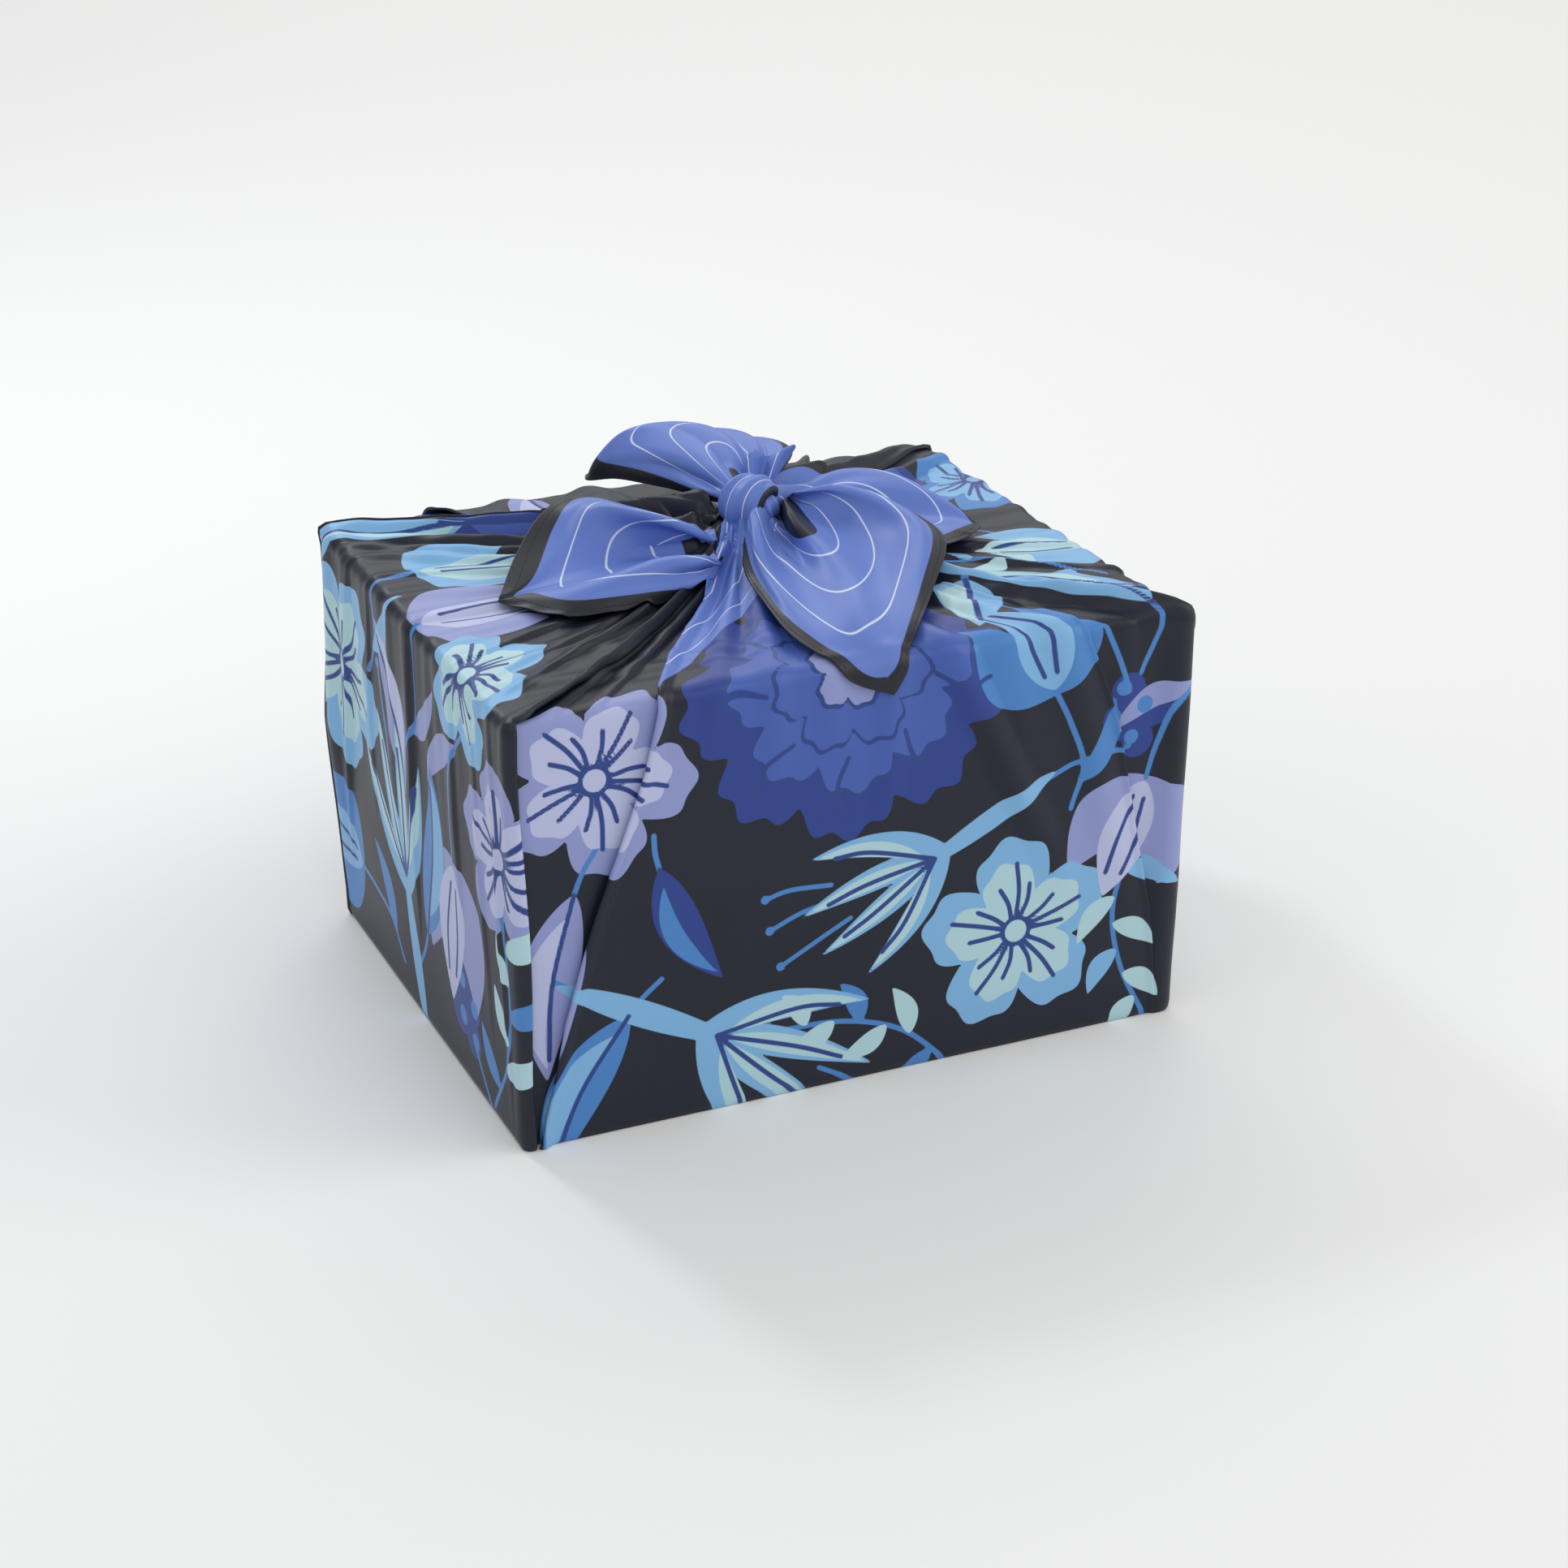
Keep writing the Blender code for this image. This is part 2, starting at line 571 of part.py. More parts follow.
def main():
    clear_scene()
    wrap = new_collection("furoshiki_wrap")
    helpers = new_collection("folds_and_cutters")
    dark_satin = satin("charcoal_printed_satin", CHARCOAL, SATIN_ROUGHNESS)
    blue_satin = satin("blue_corner_satin", CORNER_BLUE, SATIN_ROUGHNESS)
    body = wrap_body(wrap, dark_satin)
    combine(body, contents_cutter(helpers, dark_satin), "DIFFERENCE")
    combine(body, mouth_cutter(helpers, dark_satin), "DIFFERENCE")
    for heart in KNOT_HEARTS:
        combine(body, knot_heart(heart, helpers, blue_satin), "UNION")
    for band in KNOT_BANDS:
        combine(body, knot_band(band, helpers, blue_satin), "UNION")
    for name, lines in TAILS.items():
        combine(body, tail_sheet(name, lines, helpers, blue_satin), "UNION", solver="MANIFOLD")


main()
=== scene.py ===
import logging
import math
from dataclasses import dataclass, field
from enum import Enum

import bpy
import numpy as np
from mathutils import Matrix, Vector


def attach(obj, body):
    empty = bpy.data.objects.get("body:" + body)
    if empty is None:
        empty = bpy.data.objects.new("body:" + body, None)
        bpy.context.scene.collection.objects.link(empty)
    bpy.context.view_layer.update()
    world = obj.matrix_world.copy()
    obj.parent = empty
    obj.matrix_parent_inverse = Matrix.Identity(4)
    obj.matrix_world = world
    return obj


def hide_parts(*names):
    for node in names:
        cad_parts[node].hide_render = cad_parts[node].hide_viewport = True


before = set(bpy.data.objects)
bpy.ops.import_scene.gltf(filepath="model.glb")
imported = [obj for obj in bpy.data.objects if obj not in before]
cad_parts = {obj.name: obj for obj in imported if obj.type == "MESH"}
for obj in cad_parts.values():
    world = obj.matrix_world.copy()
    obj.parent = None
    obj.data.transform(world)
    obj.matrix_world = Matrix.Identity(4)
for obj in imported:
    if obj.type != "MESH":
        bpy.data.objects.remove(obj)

log = logging.getLogger("furoshiki")

MM = 0.001
NODE = "furoshiki_wrap"

# Distances in millimetres at which no figure, hem or blue corner shows.
FAR = 99.0
NO_CORNER = 999.0


class Side(Enum):
    """The four upright sides of the wrapped block."""

    FRONT = "front"
    BACK = "back"
    LEFT = "left"
    RIGHT = "right"

    @property
    def long(self) -> bool:
        """Whether the side runs along the length of the block."""
        return self in (Side.FRONT, Side.BACK)


class Tone(Enum):
    """The colours of the print, in the order in which they are printed over the ground."""

    ROYAL = "royal"
    CORNFLOWER = "cornflower"
    LAVENDER = "lavender"
    MID_BLUE = "mid_blue"
    LIGHT_BLUE = "light_blue"
    PALE_LAVENDER = "pale_lavender"
    AQUA = "aqua"
    DEEP_LINE = "deep_line"


class Scheme(Enum):
    """Pairs of print colours: the outer and the inner one of a figure."""

    LIGHT = (Tone.LIGHT_BLUE, Tone.AQUA)
    MIDDLE = (Tone.MID_BLUE, Tone.LIGHT_BLUE)
    LEAFY = (Tone.MID_BLUE, Tone.AQUA)
    PURPLE = (Tone.LAVENDER, Tone.PALE_LAVENDER)
    DEEP = (Tone.ROYAL, Tone.MID_BLUE)
    BLUE = (Tone.ROYAL, Tone.CORNFLOWER)


@dataclass(frozen=True)
class Dyes:
    """The dyed colours of the cloth, as sRGB hex values."""

    ground: str = "#1a1d2b"
    ground_worn: str = "#1f2231"
    corner: str = "#627cc8"
    border: str = "#23242e"
    white_line: str = "#d9e2f4"
    thread: str = "#15161c"
    royal: str = "#2b418e"
    cornflower: str = "#4560b0"
    lavender: str = "#8f98cc"
    mid_blue: str = "#4a83c6"
    light_blue: str = "#7fb3df"
    pale_lavender: str = "#b9bfe2"
    aqua: str = "#b0d3dc"
    deep_line: str = "#2b4488"


@dataclass(frozen=True)
class Fold:
    """A soft ridge from the knots over a top edge and down a side, in millimetres."""

    side: Side
    at: float
    knot: float
    edge: float
    below: float
    half_width: float
    drop: float
    lean: float
    steep: int = 0
    start: tuple[float, float] = (0.0, 0.0)


@dataclass(frozen=True)
class Block:
    """The wrapped block outside the cloth, in millimetres."""

    height: float = 178.0
    half_length_base: float = 140.0
    half_width_base: float = 112.7
    half_length_top: float = 141.9
    half_width_top: float = 113.8
    edge_radius: float = 3.8

    def half_sizes(self, z: np.ndarray) -> tuple[np.ndarray, np.ndarray]:
        """Half length and half width of the block at a height.

        Args:
            z: Heights.

        Returns:
            The half lengths and the half widths.
        """
        share = np.clip(z / self.height, 0.0, 1.0)
        length = self.half_length_base + (self.half_length_top - self.half_length_base) * share
        width = self.half_width_base + (self.half_width_top - self.half_width_base) * share
        return length, width

    def side_point(self, side: Side, at: float, z: float) -> tuple[float, float, float]:
        """The point of a side at a place along it and a height.

        Args:
            side: The side of the block.
            at: Place along the side, as x or y.
            z: Height.

        Returns:
            The point.
        """
        length, width = self.half_sizes(z)
        places = {
            Side.FRONT: (at, -width, z),
            Side.BACK: (at, width, z),
            Side.LEFT: (-length, at, z),
            Side.RIGHT: (length, at, z),
        }
        return places[side]


def smooth_step(value: np.ndarray) -> np.ndarray:
    """Ease from 0 to 1, flat at both ends."""
    value = np.clip(value, 0.0, 1.0)
    return value * value * (3.0 - 2.0 * value)


def curve_through(points: np.ndarray, share: np.ndarray) -> np.ndarray:
    """Places on a smooth curve through evenly counted points.

    Args:
        points: The points, one row each.
        share: Where on the curve, from 0 to 1.

    Returns:
        One row for each share.
    """
    points = np.asarray(points, float)
    last = len(points) - 1
    padded = np.vstack([2 * points[0] - points[1], points, 2 * points[-1] - points[-2]])
    scaled = np.clip(share * last, 0.0, last - 1e-9)
    index = scaled.astype(int)
    part = (scaled - index)[:, None]
    before, start, end, after = (padded[index + step] for step in range(4))
    return 0.5 * (
        2 * start
        + (end - before) * part
        + (2 * before - 5 * start + 4 * end - after) * part**2
        + (3 * start - before - 3 * end + after) * part**3
    )


def points_of(piece: bpy.types.Object) -> np.ndarray:
    """The points of a piece's mesh.

    Args:
        piece: The piece.

    Returns:
        One row for each point, in the units of the mesh.
    """
    points = np.empty(len(piece.data.vertices) * 3)
    piece.data.vertices.foreach_get("co", points)
    return points.reshape(-1, 3)


def move_points(piece: bpy.types.Object, points: np.ndarray) -> None:
    """Put the points of a piece's mesh where they belong, from places in millimetres."""
    piece.data.vertices.foreach_set("co", (points * MM).ravel())
    piece.data.update()


def rename(piece: bpy.types.Object, name: str) -> None:
    """Name a piece and its mesh."""
    piece.name = name
    piece.data.name = name


def keep_values(piece: bpy.types.Object, fields: dict[str, np.ndarray]) -> None:
    """Keep values of each point on a piece, for its material to read.

    Args:
        piece: The piece.
        fields: Values in the order of the points, by name.
    """
    for name, values in fields.items():
        layer = piece.data.attributes.new(name, "FLOAT", "POINT")
        layer.data.foreach_set("value", np.asarray(values, np.float32).ravel())


def select_only(*pieces: bpy.types.Object) -> None:
    """Select some pieces and make the first the active one.

    Args:
        pieces: The pieces.
    """
    bpy.ops.object.select_all(action="DESELECT")
    for piece in pieces:
        piece.select_set(True)
    bpy.context.view_layer.objects.active = pieces[0]


def joined(parts: list[bpy.types.Object], name: str) -> bpy.types.Object:
    """Join parts to one piece.

    Args:
        parts: The parts.
        name: Name of the piece.

    Returns:
        The piece.
    """
    select_only(*parts)
    bpy.ops.object.join()
    rename(bpy.context.object, name)
    return bpy.context.object


FOLDS = (
    Fold(Side.FRONT, -60.0, 3.0, 1.0, 0.5, 9.0, 30.0, 4.0),
    Fold(Side.FRONT, -36.0, 4.0, 1.5, 0.8, 10.0, 50.0, 2.0),
    Fold(Side.FRONT, -12.0, 4.0, 1.5, 0.8, 10.0, 45.0, 3.0),
    Fold(Side.FRONT, 14.0, 4.0, 2.0, 1.4, 10.0, 75.0, -3.0),
    Fold(Side.FRONT, 38.0, 3.0, 3.5, 3.0, 11.0, 120.0, 60.0),
    Fold(Side.FRONT, 62.0, 3.0, 1.5, 1.0, 12.0, 60.0, 16.0),
    Fold(Side.FRONT, 87.0, 3.0, 2.6, 2.2, 12.0, 150.0, 42.0),
    Fold(Side.FRONT, 114.0, 2.0, 1.0, 0.8, 10.0, 60.0, 8.0),
    Fold(Side.LEFT, -100.0, 1.0, 0.4, 2.0, 5.0, 172.0, -6.0, -1),
    Fold(Side.LEFT, -78.0, 3.0, 0.8, 1.2, 8.0, 150.0, -8.0, -1),
    Fold(Side.LEFT, -54.0, 4.0, 1.0, 1.4, 12.0, 130.0, -2.0, -1),
    Fold(Side.LEFT, -28.0, 3.0, 0.8, 1.0, 8.0, 100.0, 4.0),
    Fold(Side.LEFT, -6.0, 4.0, 1.4, 2.2, 15.0, 150.0, 10.0, -1),
    Fold(Side.LEFT, 22.0, 3.0, 0.8, 1.0, 9.0, 120.0, 6.0),
    Fold(Side.LEFT, 48.0, 3.0, 1.0, 1.4, 12.0, 110.0, 8.0, -1),
    Fold(Side.LEFT, 74.0, 4.0, 1.4, 2.6, 16.0, 160.0, 26.0, -1),
    Fold(Side.LEFT, 104.0, 3.0, 1.4, 5.0, 13.0, 165.0, 4.0),
    Fold(Side.RIGHT, -82.0, 3.0, 0.9, 2.0, 11.0, 130.0, -8.0),
    Fold(Side.RIGHT, -45.0, 3.0, 0.8, 1.6, 10.0, 90.0, 0.0),
    Fold(Side.RIGHT, -12.0, 3.0, 1.0, 2.0, 11.0, 130.0, -6.0),
    Fold(Side.RIGHT, 24.0, 3.0, 0.8, 1.6, 10.0, 100.0, 4.0),
    Fold(Side.RIGHT, 58.0, 3.0, 1.0, 2.0, 11.0, 120.0, 12.0),
    Fold(Side.RIGHT, 92.0, 3.0, 0.9, 1.8, 10.0, 110.0, 8.0),
    Fold(Side.BACK, -100.0, 3.0, 2.0, 2.2, 11.0, 130.0, -10.0),
    Fold(Side.BACK, -62.0, 3.0, 1.8, 1.6, 11.0, 90.0, -4.0),
    Fold(Side.BACK, -24.0, 4.0, 2.6, 2.4, 12.0, 130.0, 2.0),
    Fold(Side.BACK, 18.0, 5.0, 2.0, 1.6, 11.0, 100.0, 4.0),
    Fold(Side.BACK, 58.0, 6.0, 2.8, 2.4, 12.0, 120.0, 10.0),
    Fold(Side.BACK, 98.0, 4.0, 1.6, 1.6, 11.0, 100.0, 10.0),
    # Long pleats that lie side by side, from the knots to the back left corner.
    Fold(Side.LEFT, 113.0, 22.0, 3.0, 0.0, 9.0, 10.0, 0.0, 0, (-12.0, 15.0)),
    Fold(Side.LEFT, 100.0, 12.0, 2.2, 0.0, 8.0, 12.0, 0.0, 0, (-18.0, 8.0)),
    Fold(Side.LEFT, 88.0, 9.0, 1.6, 0.0, 7.0, 12.0, 0.0, 0, (-20.0, 2.0)),
    Fold(Side.LEFT, 77.0, 7.0, 1.2, 0.0, 6.0, 12.0, 0.0, 0, (-22.0, -4.0)),
    # Two rolls from the knots to the back right corner.
    Fold(Side.BACK, 132.0, 24.0, 2.6, 0.0, 9.0, 10.0, 0.0, 0, (16.0, 24.0)),
    Fold(Side.RIGHT, 97.0, 19.0, 2.4, 0.0, 8.0, 12.0, 0.0, 0, (20.0, 12.0)),
    # Pleats from the knots towards the front left and the front right corner.
    Fold(Side.FRONT, -127.0, 6.0, 1.0, 0.0, 6.0, 8.0, 0.0, 1, (-14.0, -14.0)),
    Fold(Side.FRONT, -107.0, 7.0, 0.8, 0.0, 7.0, 8.0, 0.0, 1, (-12.0, -16.0)),
    Fold(Side.LEFT, -96.0, 6.0, 0.8, 0.0, 6.0, 8.0, 0.0, -1, (-16.0, -12.0)),
    Fold(Side.FRONT, 131.0, 4.0, 3.4, 1.0, 9.0, 20.0, -2.0, 0, (40.0, -16.0)),
    Fold(Side.RIGHT, -98.0, 3.0, 1.2, 0.6, 6.0, 40.0, 0.0, -1, (40.0, -8.0)),
    Fold(Side.RIGHT, -64.0, 4.0, 1.0, 0.6, 7.0, 40.0, 0.0, -1, (36.0, 0.0)),
    Fold(Side.RIGHT, -30.0, 4.0, 1.0, 0.6, 7.0, 40.0, 0.0, -1, (34.0, 6.0)),
)


@dataclass
class Drape:
    """How the cloth lies over the block: rounded edges, folds, and a rise towards the knots."""

    block: Block = field(default_factory=Block)
    folds: tuple[Fold, ...] = FOLDS
    tent_peak: float = 15.0
    tent_radius: float = 20.0
    tent_skirt: float = 5.0
    tent_skirt_radius: float = 62.0
    tent_centre: tuple[float, float] = (3.0, 2.5)
    steep_width: float = 2.2
    free_rise: float = 19.0
    most_rise: float = 26.0
    steep_power: float = 0.8
    top_from: float = 0.3
    top_blend: float = 0.6
    base_height: float = 0.5

    def path(self, fold: Fold) -> np.ndarray:
        """The line of a fold, from the knots over the top edge and down the side.

        Args:
            fold: The fold.

        Returns:
            The corners of the line.
        """
        height = self.block.height
        return np.array(
            [
                (*fold.start, height),
                self.block.side_point(fold.side, fold.at, height),
                self.block.side_point(fold.side, fold.at + 0.5 * fold.lean, height - 0.5 * fold.drop),
                self.block.side_point(fold.side, fold.at + fold.lean, height - fold.drop),
            ]
        )

    def fold_relief(self, points: np.ndarray) -> np.ndarray:
        """How far the folds lift the cloth.

        Args:
            points: Points of the plain block.

        Returns:
            The lift at each point.
        """
        relief = np.zeros(len(points))
        for fold in self.folds:
            distance, along, offset = nearest_on_path(points, self.path(fold))
            height = np.interp(along, [0.0, 1.0, 2.0, 3.0], [fold.knot, fold.edge, fold.below, 0.0])
            bump = 0.5 + 0.5 * np.cos(math.pi * np.clip(distance / fold.half_width, 0.0, 1.0))
            if fold.steep:
                sideways = offset[:, 0 if fold.side.long else 1]
                crest = 1 - smooth_step(distance / self.steep_width)
                bump = np.where(sideways * fold.steep > 0, crest, bump**self.steep_power)
            relief = np.maximum(relief, height * bump)
        return relief

    def tent(self, x: np.ndarray, y: np.ndarray) -> np.ndarray:
        """How far the gathered cloth rises towards the knots on the top.

        Args:
            x: Places along the length.
            y: Places along the width.

        Returns:
            The rise at each place.
        """
        radius = np.hypot(x - self.tent_centre[0], y - self.tent_centre[1])
        peak = self.tent_peak * np.exp(-((radius / self.tent_radius) ** 2))
        return peak + self.tent_skirt * np.exp(-((radius / self.tent_skirt_radius) ** 2))

    def place(self, points: np.ndarray, lift: np.ndarray) -> np.ndarray:
        """Move points of the plain block to where the cloth lies.

        Args:
            points: Points of the plain block, with square edges.
            lift: Extra height over the folds at each point.

        Returns:
            The draped points.
        """
        block = self.block
        length, width = block.half_sizes(points[:, 2])
        radius = block.edge_radius
        low = np.stack([-length + radius, -width + radius, np.full(len(points), radius)], axis=1)
        top = np.full(len(points), block.height - radius)
        high = np.stack([length - radius, width - radius, top], axis=1)
        core = np.clip(points, low, high)
        out = points - core
        normals = out / np.maximum(np.linalg.norm(out, axis=1), 1e-9)[:, None]
        on_top = smooth_step((normals[:, 2] - self.top_from) / self.top_blend)
        tent = on_top * self.tent(points[:, 0], points[:, 1])
        rise = self.capped(self.fold_relief(points) + tent) + lift
        rise = np.where(points[:, 2] < self.base_height, np.minimum(lift, 0.0), rise)
        placed = core + (radius + rise[:, None]) * normals
        placed[:, 2] = np.maximum(placed[:, 2], 0.0)
        return placed

    def top_height(self, x: np.ndarray, y: np.ndarray) -> np.ndarray:
        """Height of the cloth on top of the block."""
        flat = np.stack([x, y, np.full(len(x), self.block.height)], axis=1)
        return self.block.height + self.capped(self.fold_relief(flat) + self.tent(x, y))

    def capped(self, rise: np.ndarray) -> np.ndarray:
        """Keep the rise below that of the knots, with a soft bend where it gets near.

        Args:
            rise: The rise at each place.

        Returns:
            The rise that is kept.
        """
        room = self.most_rise - self.free_rise
        over = np.maximum(rise - self.free_rise, 0.0)
        return np.minimum(rise, self.free_rise) + room * np.tanh(over / room)


def nearest_on_path(
    points: np.ndarray, path: np.ndarray
) -> tuple[np.ndarray, np.ndarray, np.ndarray]:
    """Distance to a path, the place along it counted in its corners, and the way from it.

    Args:
        points: The points to measure from.
        path: The corners of the path.

    Returns:
        The distances, the places and the offsets.
    """
    best = np.full(len(points), 1e9)
    along = np.zeros(len(points))
    away = np.zeros(points.shape)
    for index in range(len(path) - 1):
        run = path[index + 1] - path[index]
        place = np.clip((points - path[index]) @ run / (run @ run), 0.0, 1.0)
        offset = points - (path[index] + place[:, None] * run)
        distance = np.linalg.norm(offset, axis=1)
        nearer = distance < best
        best = np.where(nearer, distance, best)
        along = np.where(nearer, index + place, along)
        away = np.where(nearer[:, None], offset, away)
    return best, along, away


@dataclass(frozen=True)
class Motif:
    """One figure of the print: its kind, place in the cloth's flat frame, turn, size and colours."""

    kind: str
    x: float
    y: float
    turn: float
    size: float
    scheme: Scheme

    @property
    def base(self) -> Tone:
        """The outer colour."""
        return self.scheme.value[0]

    @property
    def inner(self) -> Tone:
        """The inner colour."""
        return self.scheme.value[1]


class Local:
    """The cloth's flat frame seen from one motif, in units of its size."""

    def __init__(self, flat: np.ndarray, motif: Motif) -> None:
        """Turn and scale flat places into the motif's own frame.

        Args:
            flat: Flat places on the cloth, in millimetres.
            motif: The motif.
        """
        angle = math.radians(motif.turn)
        shifted = flat - np.array([motif.x, motif.y])
        self.size = motif.size
        self.u = (shifted[:, 0] * math.cos(angle) + shifted[:, 1] * math.sin(angle)) / motif.size
        self.v = (-shifted[:, 0] * math.sin(angle) + shifted[:, 1] * math.cos(angle)) / motif.size

    def disc(self, u: float, v: float, radius: float) -> np.ndarray:
        """Distance to a round spot, negative inside."""
        return (np.hypot(self.u - u, self.v - v) - radius) * self.size

    def leaf(
        self, start: tuple[float, float], end: tuple[float, float], width: float, bend: float
    ) -> np.ndarray:
        """Distance to a pointed leaf, negative inside.

        Args:
            start: Where the leaf begins.
            end: Its point.
            width: Half its width.
            bend: How far its middle bows to the left.

        Returns:
            The distance at each place.
        """
        run = np.array(end) - np.array(start)
        length = math.hypot(*run)
        along = ((self.u - start[0]) * run[0] + (self.v - start[1]) * run[1]) / length**2
        side = (-(self.u - start[0]) * run[1] + (self.v - start[1]) * run[0]) / length
        clipped = np.clip(along, 0.0, 1.0)
        middle = bend * 4 * clipped * (1 - clipped)
        half = width * np.sin(math.pi * clipped**0.8) ** 0.9
        past = np.maximum(np.maximum(-along, along - 1), 0.0) * length
        return (np.abs(side - middle) - half + 3 * past) * self.size

    def petals(self, count: int, radius: float, depth: float, turn: float) -> np.ndarray:
        """Distance to a ring of round petals, negative inside.

        Args:
            count: How many petals.
            radius: How far they reach.
            depth: How deep the gaps between them are, as a share of the reach.
            turn: Turn of the ring in degrees.

        Returns:
            The distance at each place.
        """
        angle = np.arctan2(self.v, self.u) + math.radians(turn)
        wave = np.abs(np.cos(count * angle / 2)) ** 0.7
        ripple = 0.03 * np.cos(3 * count * angle + 1.0)
        reach = radius * (1 - depth + depth * wave + ripple)
        return (np.hypot(self.u, self.v) - reach) * self.size

    def line(self, points: list[tuple[float, float]], half: float) -> np.ndarray:
        """Distance to a thin curved line through a few points, negative inside.

        Args:
            points: Points on the line.
            half: Half its width in millimetres.

        Returns:
            The distance at each place.
        """
        curve = curve_through(np.array(points), np.linspace(0.0, 1.0, 5 * len(points)))
        place = np.stack([self.u, self.v], axis=1)
        best = np.full(len(place), 1e9)
        for start, end in zip(curve, curve[1:]):
            run = end - start
            share = np.clip((place - start) @ run / (run @ run), 0.0, 1.0)
            best = np.minimum(best, np.linalg.norm(place - start - share[:, None] * run, axis=1))
        return best * self.size - half


MOTIFS = (
    # The front side and the cloth above it.
    Motif("dahlia", -4.0, -292.0, 12.0, 70.0, Scheme.BLUE),
    Motif("lily", -62.0, -148.0, 28.0, 74.0, Scheme.LIGHT),
    Motif("blossom", 70.0, -166.0, 50.0, 42.0, Scheme.LIGHT),
    Motif("leaf", -112.0, -132.0, 115.0, 44.0, Scheme.MIDDLE),
    Motif("lily", 34.0, -206.0, 152.0, 60.0, Scheme.LIGHT),
    Motif("tulip", 84.0, -268.0, 250.0, 52.0, Scheme.MIDDLE),
    Motif("sprig", 2.0, -136.0, 200.0, 46.0, Scheme.LEAFY),
    Motif("tulip", 128.0, -222.0, 110.0, 52.0, Scheme.PURPLE),
    Motif("berries", 118.0, -262.0, 80.0, 26.0, Scheme.DEEP),
    Motif("sprig", 120.0, -150.0, 80.0, 48.0, Scheme.LIGHT),
    Motif("leaf", -70.0, -200.0, 60.0, 34.0, Scheme.DEEP),
    Motif("blossom", -108.0, -264.0, 10.0, 40.0, Scheme.PURPLE),
    Motif("leaf", -121.0, -182.0, 96.0, 46.0, Scheme.PURPLE),
    Motif("leaf", 92.0, -322.0, 140.0, 44.0, Scheme.LIGHT),
    Motif("leaf", 128.0, -346.0, 266.0, 64.0, Scheme.LIGHT),
    # The left side, and round its front edge.
    Motif("tulip", -178.0, 82.0, 100.0, 58.0, Scheme.MIDDLE),
    Motif("lily", -200.0, 18.0, 165.0, 72.0, Scheme.LIGHT),
    Motif("tulip", -236.0, -48.0, 8.0, 66.0, Scheme.PURPLE),
    Motif("berries", -166.0, -62.0, 150.0, 30.0, Scheme.DEEP),
    Motif("blossom", -270.0, 88.0, 0.0, 46.0, Scheme.LIGHT),
    Motif("leaf", -226.0, -14.0, 190.0, 50.0, Scheme.MIDDLE),
    Motif("leaf", -272.0, 26.0, 150.0, 44.0, Scheme.PURPLE),
    Motif("blossom", -262.0, -104.0, 30.0, 38.0, Scheme.PURPLE),
    Motif("sprig", -196.0, -104.0, 190.0, 52.0, Scheme.LEAFY),
    Motif("tulip", -338.0, 48.0, 172.0, 56.0, Scheme.LIGHT),
    Motif("tulip", -322.0, -8.0, 182.0, 58.0, Scheme.PURPLE),
    Motif("blossom", -322.0, -66.0, 185.0, 36.0, Scheme.LIGHT),
    Motif("leaf", -338.0, 108.0, 180.0, 36.0, Scheme.LIGHT),
    Motif("leaf", -400.0, 104.0, 182.0, 50.0, Scheme.BLUE),
    # The right side.
    Motif("blossom", 214.0, -36.0, 0.0, 42.0, Scheme.LIGHT),
    Motif("tulip", 196.0, 52.0, 30.0, 50.0, Scheme.PURPLE),
    Motif("sprig", 262.0, 20.0, 200.0, 54.0, Scheme.LEAFY),
    Motif("berries", 170.0, -84.0, 20.0, 26.0, Scheme.DEEP),
    Motif("leaf", 282.0, -78.0, 120.0, 44.0, Scheme.MIDDLE),
    Motif("tulip", 318.0, -30.0, 0.0, 48.0, Scheme.LIGHT),
    Motif("sprig", 372.0, -52.0, 10.0, 46.0, Scheme.LIGHT),
    Motif("leaf", 366.0, -86.0, 0.0, 52.0, Scheme.LIGHT),
    Motif("tulip", 392.0, 20.0, 20.0, 50.0, Scheme.MIDDLE),
    Motif("leaf", 384.0, 86.0, 10.0, 50.0, Scheme.BLUE),
    Motif("blossom", 324.0, 62.0, 0.0, 38.0, Scheme.MIDDLE),
    Motif("leaf", 300.0, 104.0, 20.0, 40.0, Scheme.PURPLE),
    # The back side.
    Motif("blossom", 30.0, 206.0, 0.0, 46.0, Scheme.PURPLE),
    Motif("tulip", -76.0, 168.0, 60.0, 52.0, Scheme.LIGHT),
    Motif("sprig", 108.0, 158.0, 110.0, 58.0, Scheme.LEAFY),
    Motif("blossom", -104.0, 258.0, 0.0, 36.0, Scheme.DEEP),
    Motif("berries", 98.0, 250.0, 60.0, 28.0, Scheme.DEEP),
    Motif("leaf", -20.0, 150.0, 20.0, 42.0, Scheme.MIDDLE),
    Motif("tulip", 40.0, 318.0, 80.0, 46.0, Scheme.LIGHT),
    Motif("leaf", -60.0, 326.0, 100.0, 44.0, Scheme.PURPLE),
    Motif("leaf", -78.0, 330.0, 32.0, 62.0, Scheme.BLUE),
)


Shapes = list[tuple[Tone, np.ndarray]]


